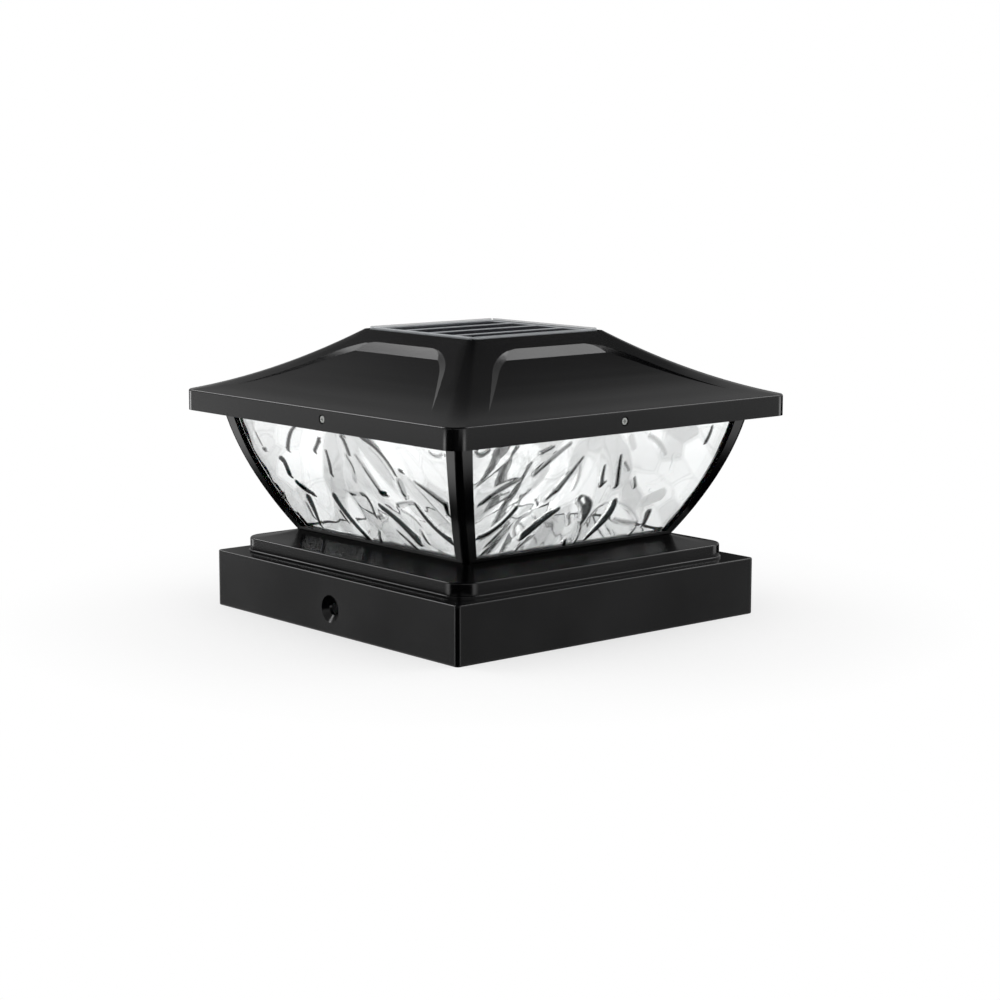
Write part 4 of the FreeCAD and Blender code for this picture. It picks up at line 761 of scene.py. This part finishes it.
RIGHT_STROKES = (
    (((-54.2, 38.0), (-51.6, 36.7), (-48.6, 38.0)), (0.7, 0.9, 0.7), 0.85),
    (((-26.2, 35.2), (-21.6, 36.8)), (0.9, 0.7), 0.85),
    (((-14.6, 37.2), (-21.0, 33.2), (-27.2, 28.4)), (1.3, 1.8, 1.2), 0.55),
    (((-7.8, 32.0), (-11.0, 28.0), (-15.4, 22.2)), (0.8, 1.5, 2.3), 0.6),
    (((-16.4, 21.6), (-19.0, 19.2)), (1.5, 0.9), 0.5),
    (((-33.0, 27.2), (-40.0, 24.8), (-47.6, 20.4)), (1.0, 1.6, 1.1), 0.6),
    (((-44.0, 22.4), (-45.8, 21.2)), (1.0, 0.9), 0.9),
    (((-31.3, 17.3), (-34.4, 13.4), (-38.2, 10.4), (-43.4, 8.7)), (1.4, 1.3, 1.2, 0.9), 0.95),
    (((-33.8, 10.3), (-36.0, 7.8), (-38.4, 5.0)), (0.9, 1.3, 0.9), 0.55),
    (((-12.2, 14.9), (-17.4, 11.9), (-23.4, 7.2)), (1.2, 2.2, 3.0), 0.97),
    (((-3.9, 17.7), (0.4, 14.4), (1.0, 9.4)), (2.4, 4.4, 1.6), 0.85),
    # A darkness of 0.0 clears the painted shade: a painted highlight inside the dark oval above.
    (((-2.9, 17.4), (-1.5, 15.9)), (1.6, 0.9), 0.0),
    (((0.4, 9.4), (2.0, 4.6), (1.6, 0.9)), (1.0, 0.9, 0.7), 0.5),
    (((2.9, 28.2), (3.1, 24.6), (3.9, 21.8)), (0.8, 1.3, 1.5), 0.8),
    (((3.6, 22.0), (5.4, 22.5)), (0.9, 0.6), 0.75),
    (((9.2, 31.0), (9.8, 26.4), (11.0, 20.9)), (1.0, 1.6, 1.7), 0.75),
    (((12.6, 14.8), (11.6, 9.6), (6.3, 2.7)), (2.2, 3.0, 1.3), 0.97),
    (((15.6, 8.4), (21.6, 6.6), (27.6, 5.8)), (0.8, 1.3, 0.7), 0.5),
    (((14.0, 14.4), (21.0, 11.4), (27.4, 6.4)), (0.5, 0.6, 0.5), 0.4),
    (((18.2, 22.6), (20.0, 19.4)), (0.7, 0.9), 0.75),
    (((31.0, 8.8), (31.3, 4.9)), (2.7, 1.6), 0.8),
    (((49.3, 37.6), (48.8, 35.0), (47.8, 32.5)), (0.8, 1.4, 1.5), 0.85),
    (((27.0, 13.4), (33.6, 15.2)), (4.2, 4.6), 0.22),
    (((-18.8, 6.4), (-21.6, 4.8), (-23.8, 2.2)), (0.7, 1.3, 1.1), 0.5),
    (((-3.3, 2.4), (-2.8, 1.3)), (1.5, 1.2), 0.85),
    (((-36.8, 4.2), (-38.4, 2.6)), (1.2, 1.0), 0.5),
    (((-24.2, 15.0), (-28.8, 11.8), (-27.2, 7.4)), (0.5, 0.7, 0.8), 0.4),
    (((-6.8, 12.6), (-4.6, 9.0)), (1.1, 0.8), 0.5),
    (((2.8, 8.0), (5.2, 13.0), (9.4, 14.8)), (0.5, 0.6, 0.5), 0.35),
    (((11.8, 28.4), (14.6, 25.6)), (0.8, 0.7), 0.6),
    (((12.0, 36.8), (14.2, 33.4)), (2.6, 2.2), 0.22),
    (((20.4, 36.8), (25.4, 34.0), (29.8, 29.8)), (1.6, 1.8, 1.2), 0.3),
    (((-8.4, 29.8), (-7.6, 25.6), (-8.4, 21.4)), (0.9, 1.3, 0.9), 0.3),
    (((28.0, 3.6), (27.0, 1.4)), (1.2, 0.9), 0.45),
)
STROKE_DEPTH = 0.5
STROKE_SOFT = 0.7
STROKE_STEPS = 36


def stroke_cover(across, up, path, widths):
    """One inside a tapering stroke that runs smoothly through its path, zero outside."""
    knots = np.linspace(0.0, 1.0, len(path))
    steps = np.linspace(0.0, 1.0, STROKE_STEPS)
    line = [np.polyval(np.polyfit(knots, values, len(path) - 1), steps) for values in zip(*path)]
    halves = np.interp(steps, knots, widths) / 2
    inside = np.full(across.shape, -FAR_OFF)
    for x, y, half in zip(line[0], line[1], halves):
        inside = np.maximum(inside, half - np.hypot(across - x, up - y))
    return np.clip(inside / STROKE_SOFT + 0.5, 0.0, 1.0)


def pane_pattern(across, up, leaves, strokes):
    """Depth of the hollows and the painted shade of the face, at points on the pane."""
    depth, shade = leaf_field(across, up, leaves)
    for path, widths, dark in strokes:
        cover = stroke_cover(across, up, path, widths)
        # Each stroke paints its shade over the leaves, and sinks a real groove as deep as it is
        # dark.
        shade += (dark - shade) * cover
        depth += STROKE_DEPTH * dark * cover
    return depth, shade


# %% Model one pane
GRID_PITCH = mm(0.4)
MITRE_GAP = mm(0.15)
FIRST_THICKNESS = mm(2.0)
FLAT_BORDER = 0.03
CREASE = math.radians(40.0)
FRONT_SEED = 12
RIGHT_SEED = 31


def bent_grid(name):
    """A fine grid bent to the CAD pane's outer face and given a first, even thickness."""
    tall = pane_high.z - pane_low.z
    wide = 2 * sections[-1, 0]
    bpy.ops.mesh.primitive_grid_add(
        x_subdivisions=int(wide / GRID_PITCH), y_subdivisions=int(tall / GRID_PITCH), size=1.0)
    pane = bpy.context.active_object
    pane.name = name
    mesh = pane.data
    grid = np.empty(len(mesh.vertices) * 3)
    mesh.vertices.foreach_get("co", grid)
    grid = grid.reshape(-1, 3)
    level = pane_low.z + (grid[:, 1] + 0.5) * tall
    outer = np.interp(level, heights, sections[:, 0])
    bent = np.column_stack([grid[:, 0] * 2 * (outer - MITRE_GAP), -outer, level])
    mesh.vertices.foreach_set("co", bent.ravel())
    bpy.ops.object.mode_set(mode="EDIT")
    bpy.ops.mesh.select_all(action="SELECT")
    bpy.ops.mesh.extrude_region_move(
        TRANSFORM_OT_translate={"value": (0, FIRST_THICKNESS, 0)})
    bpy.ops.object.mode_set(mode="OBJECT")
    return pane


def make_pane(name, seed, strokes):
    """The bent grid with its inner face set back and pushed in by the pattern. The pattern
    fades out towards the pane's two upright edges, which stay straight."""
    pane = bent_grid(name)
    mesh = pane.data
    inner_face = np.empty(len(mesh.vertices), bool)
    mesh.vertices.foreach_get("select", inner_face)
    place = np.empty(len(mesh.vertices) * 3)
    mesh.vertices.foreach_get("co", place)
    place = place.reshape(-1, 3)
    level = place[:, 2]
    outer = np.interp(level, heights, sections[:, 0])
    inner = np.interp(level, heights, sections[:, 1])
    share = place[:, 0] / (2 * (outer - MITRE_GAP))
    across = np.where(inner_face, share * 2 * (inner - MITRE_GAP), place[:, 0])
    leaves = leaf_seeds(np.random.default_rng(seed), in_mm(sections[-1, 1]),
                        in_mm(pane_high.z - pane_low.z))
    depth, shade = pane_pattern(in_mm(across), in_mm(level - pane_low.z), leaves, strokes)
    border = np.minimum(0.5 - np.abs(share), FLAT_BORDER) / FLAT_BORDER
    place[:, 0] = across
    place[:, 1] = np.where(inner_face, -(inner + mm(depth) * border), place[:, 1])
    mesh.vertices.foreach_set("co", place.ravel())
    # The painted shade goes on the outer face only, and the inner face stays clear.
    painted_leaf_shade = mesh.attributes.new("painted_leaf_shade", "FLOAT", "POINT")
    painted_leaf_shade.data.foreach_set("value", np.where(inner_face, 0.0, shade))
    outer_face = mesh.attributes.new("outer_face", "FLOAT", "POINT")
    outer_face.data.foreach_set("value", np.where(inner_face, 0.0, 1.0))
    mesh.update()

    bpy.ops.object.mode_set(mode="EDIT")
    bpy.ops.mesh.select_all(action="SELECT")
    bpy.ops.mesh.normals_make_consistent(inside=False)
    bpy.ops.object.mode_set(mode="OBJECT")
    bpy.ops.object.shade_smooth_by_angle(angle=CREASE)
    deselect_all()
    return pane


front_pane = make_pane("rippled_pane_front", FRONT_SEED, FRONT_STROKES)
paler_strokes = [(path, widths, tone * RIGHT_TONE) for path, widths, tone in RIGHT_STROKES]
right_pane = make_pane("rippled_pane_right", RIGHT_SEED, paler_strokes)
print("one pane has", len(front_pane.data.polygons), "faces")

# %% [markdown]
# ## Clear moulded acrylic
# The acrylic is as clear as glass. Where a hollow is steep it would throw the eye onto the
# black frame, so that spot is painted dark: the painted shade kept on the outer face darkens
# only what enters through its front, and from inside the light passes. The plinth's slope
# mirrors the panes at a flat angle. In the photograph that image is dim, so the outer face
# lets less through to mirror rays.

# %% Acrylic
ACRYLIC_CLEAR = "#fcfdfd"
PAINTED_SHADE_DARK = "#000101"
SHADE_CURVE = 4.4
MIRRORED_PANE = 0.2

acrylic, acrylic_tree, acrylic_shader = clear_moulding(
    "acrylic_clear_moulded", ACRYLIC_CLEAR, shadow_code="#e8eeed", roughness=0.03, ior=1.49)
# The painted shade from the mesh darkens the base colour towards near black, for rays that enter
# through the front.
shade_value = add_node(acrylic_tree, "ShaderNodeAttribute", attribute_name="painted_leaf_shade")
surface = add_node(acrylic_tree, "ShaderNodeNewGeometry")
from_front = add_node(acrylic_tree, "ShaderNodeMath", {
    0: 1.0, 1: surface.outputs["Backfacing"]}, operation="SUBTRACT")
seen_shade = add_node(acrylic_tree, "ShaderNodeMath", {
    0: shade_value.outputs["Fac"], 1: from_front.outputs[0]}, operation="MULTIPLY")
passed = add_node(acrylic_tree, "ShaderNodeMath", {0: 1.0, 1: seen_shade.outputs[0]},
                  operation="SUBTRACT")
curved = add_node(acrylic_tree, "ShaderNodeMath", {0: passed.outputs[0], 1: SHADE_CURVE},
                  operation="POWER")
outer_value = add_node(acrylic_tree, "ShaderNodeAttribute", attribute_name="outer_face")
acrylic_path = add_node(acrylic_tree, "ShaderNodeLightPath")
entered = add_node(acrylic_tree, "ShaderNodeMath", {
    0: outer_value.outputs["Fac"], 1: from_front.outputs[0]}, operation="MULTIPLY")
mirrored = add_node(acrylic_tree, "ShaderNodeMath", {
    0: acrylic_path.outputs["Is Glossy Ray"], 1: entered.outputs[0]}, operation="MULTIPLY")
mirror_level = add_node(acrylic_tree, "ShaderNodeMapRange", {
    "Value": mirrored.outputs[0], "To Min": 1.0, "To Max": MIRRORED_PANE ** 2})
dimmed = add_node(acrylic_tree, "ShaderNodeMath", {
    0: curved.outputs[0], 1: mirror_level.outputs["Result"]}, operation="MULTIPLY")
tint = add_node(acrylic_tree, "ShaderNodeMix", {
    0: dimmed.outputs[0], 6: colour(PAINTED_SHADE_DARK), 7: colour(ACRYLIC_CLEAR)},
    data_type="RGBA")
acrylic_tree.links.new(tint.outputs[2], acrylic_shader.inputs["Base Color"])
for pane in (front_pane, right_pane):
    pane.data.materials.append(acrylic)

# %% Turn the panes to their sides


def turn_pane(pane, quarter_turns):
    """Turns a pane about the lantern's axis, and writes the turn into its mesh."""
    bpy.context.view_layer.objects.active = pane
    pane.select_set(True)
    pane.rotation_euler.z = math.radians(90 * quarter_turns)
    bpy.ops.object.transform_apply(location=False, rotation=True, scale=False)
    deselect_all()
    return pane


def copied_pane(source, name):
    """A copy of a pane with its own mesh."""
    pane = source.copy()
    pane.data = source.data.copy()
    pane.name = name
    bpy.context.scene.collection.objects.link(pane)
    return pane


turn_pane(right_pane, 1)
panes = {
    "pane_front": front_pane,
    "pane_right": right_pane,
    "pane_back": turn_pane(copied_pane(front_pane, "rippled_pane_back"), 2),
    "pane_left": turn_pane(copied_pane(right_pane, "rippled_pane_left"), 2),
}
for node, pane in panes.items():
    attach(pane, "lamp")
    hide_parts(node)
print("panes:", ", ".join(sorted(panes)))
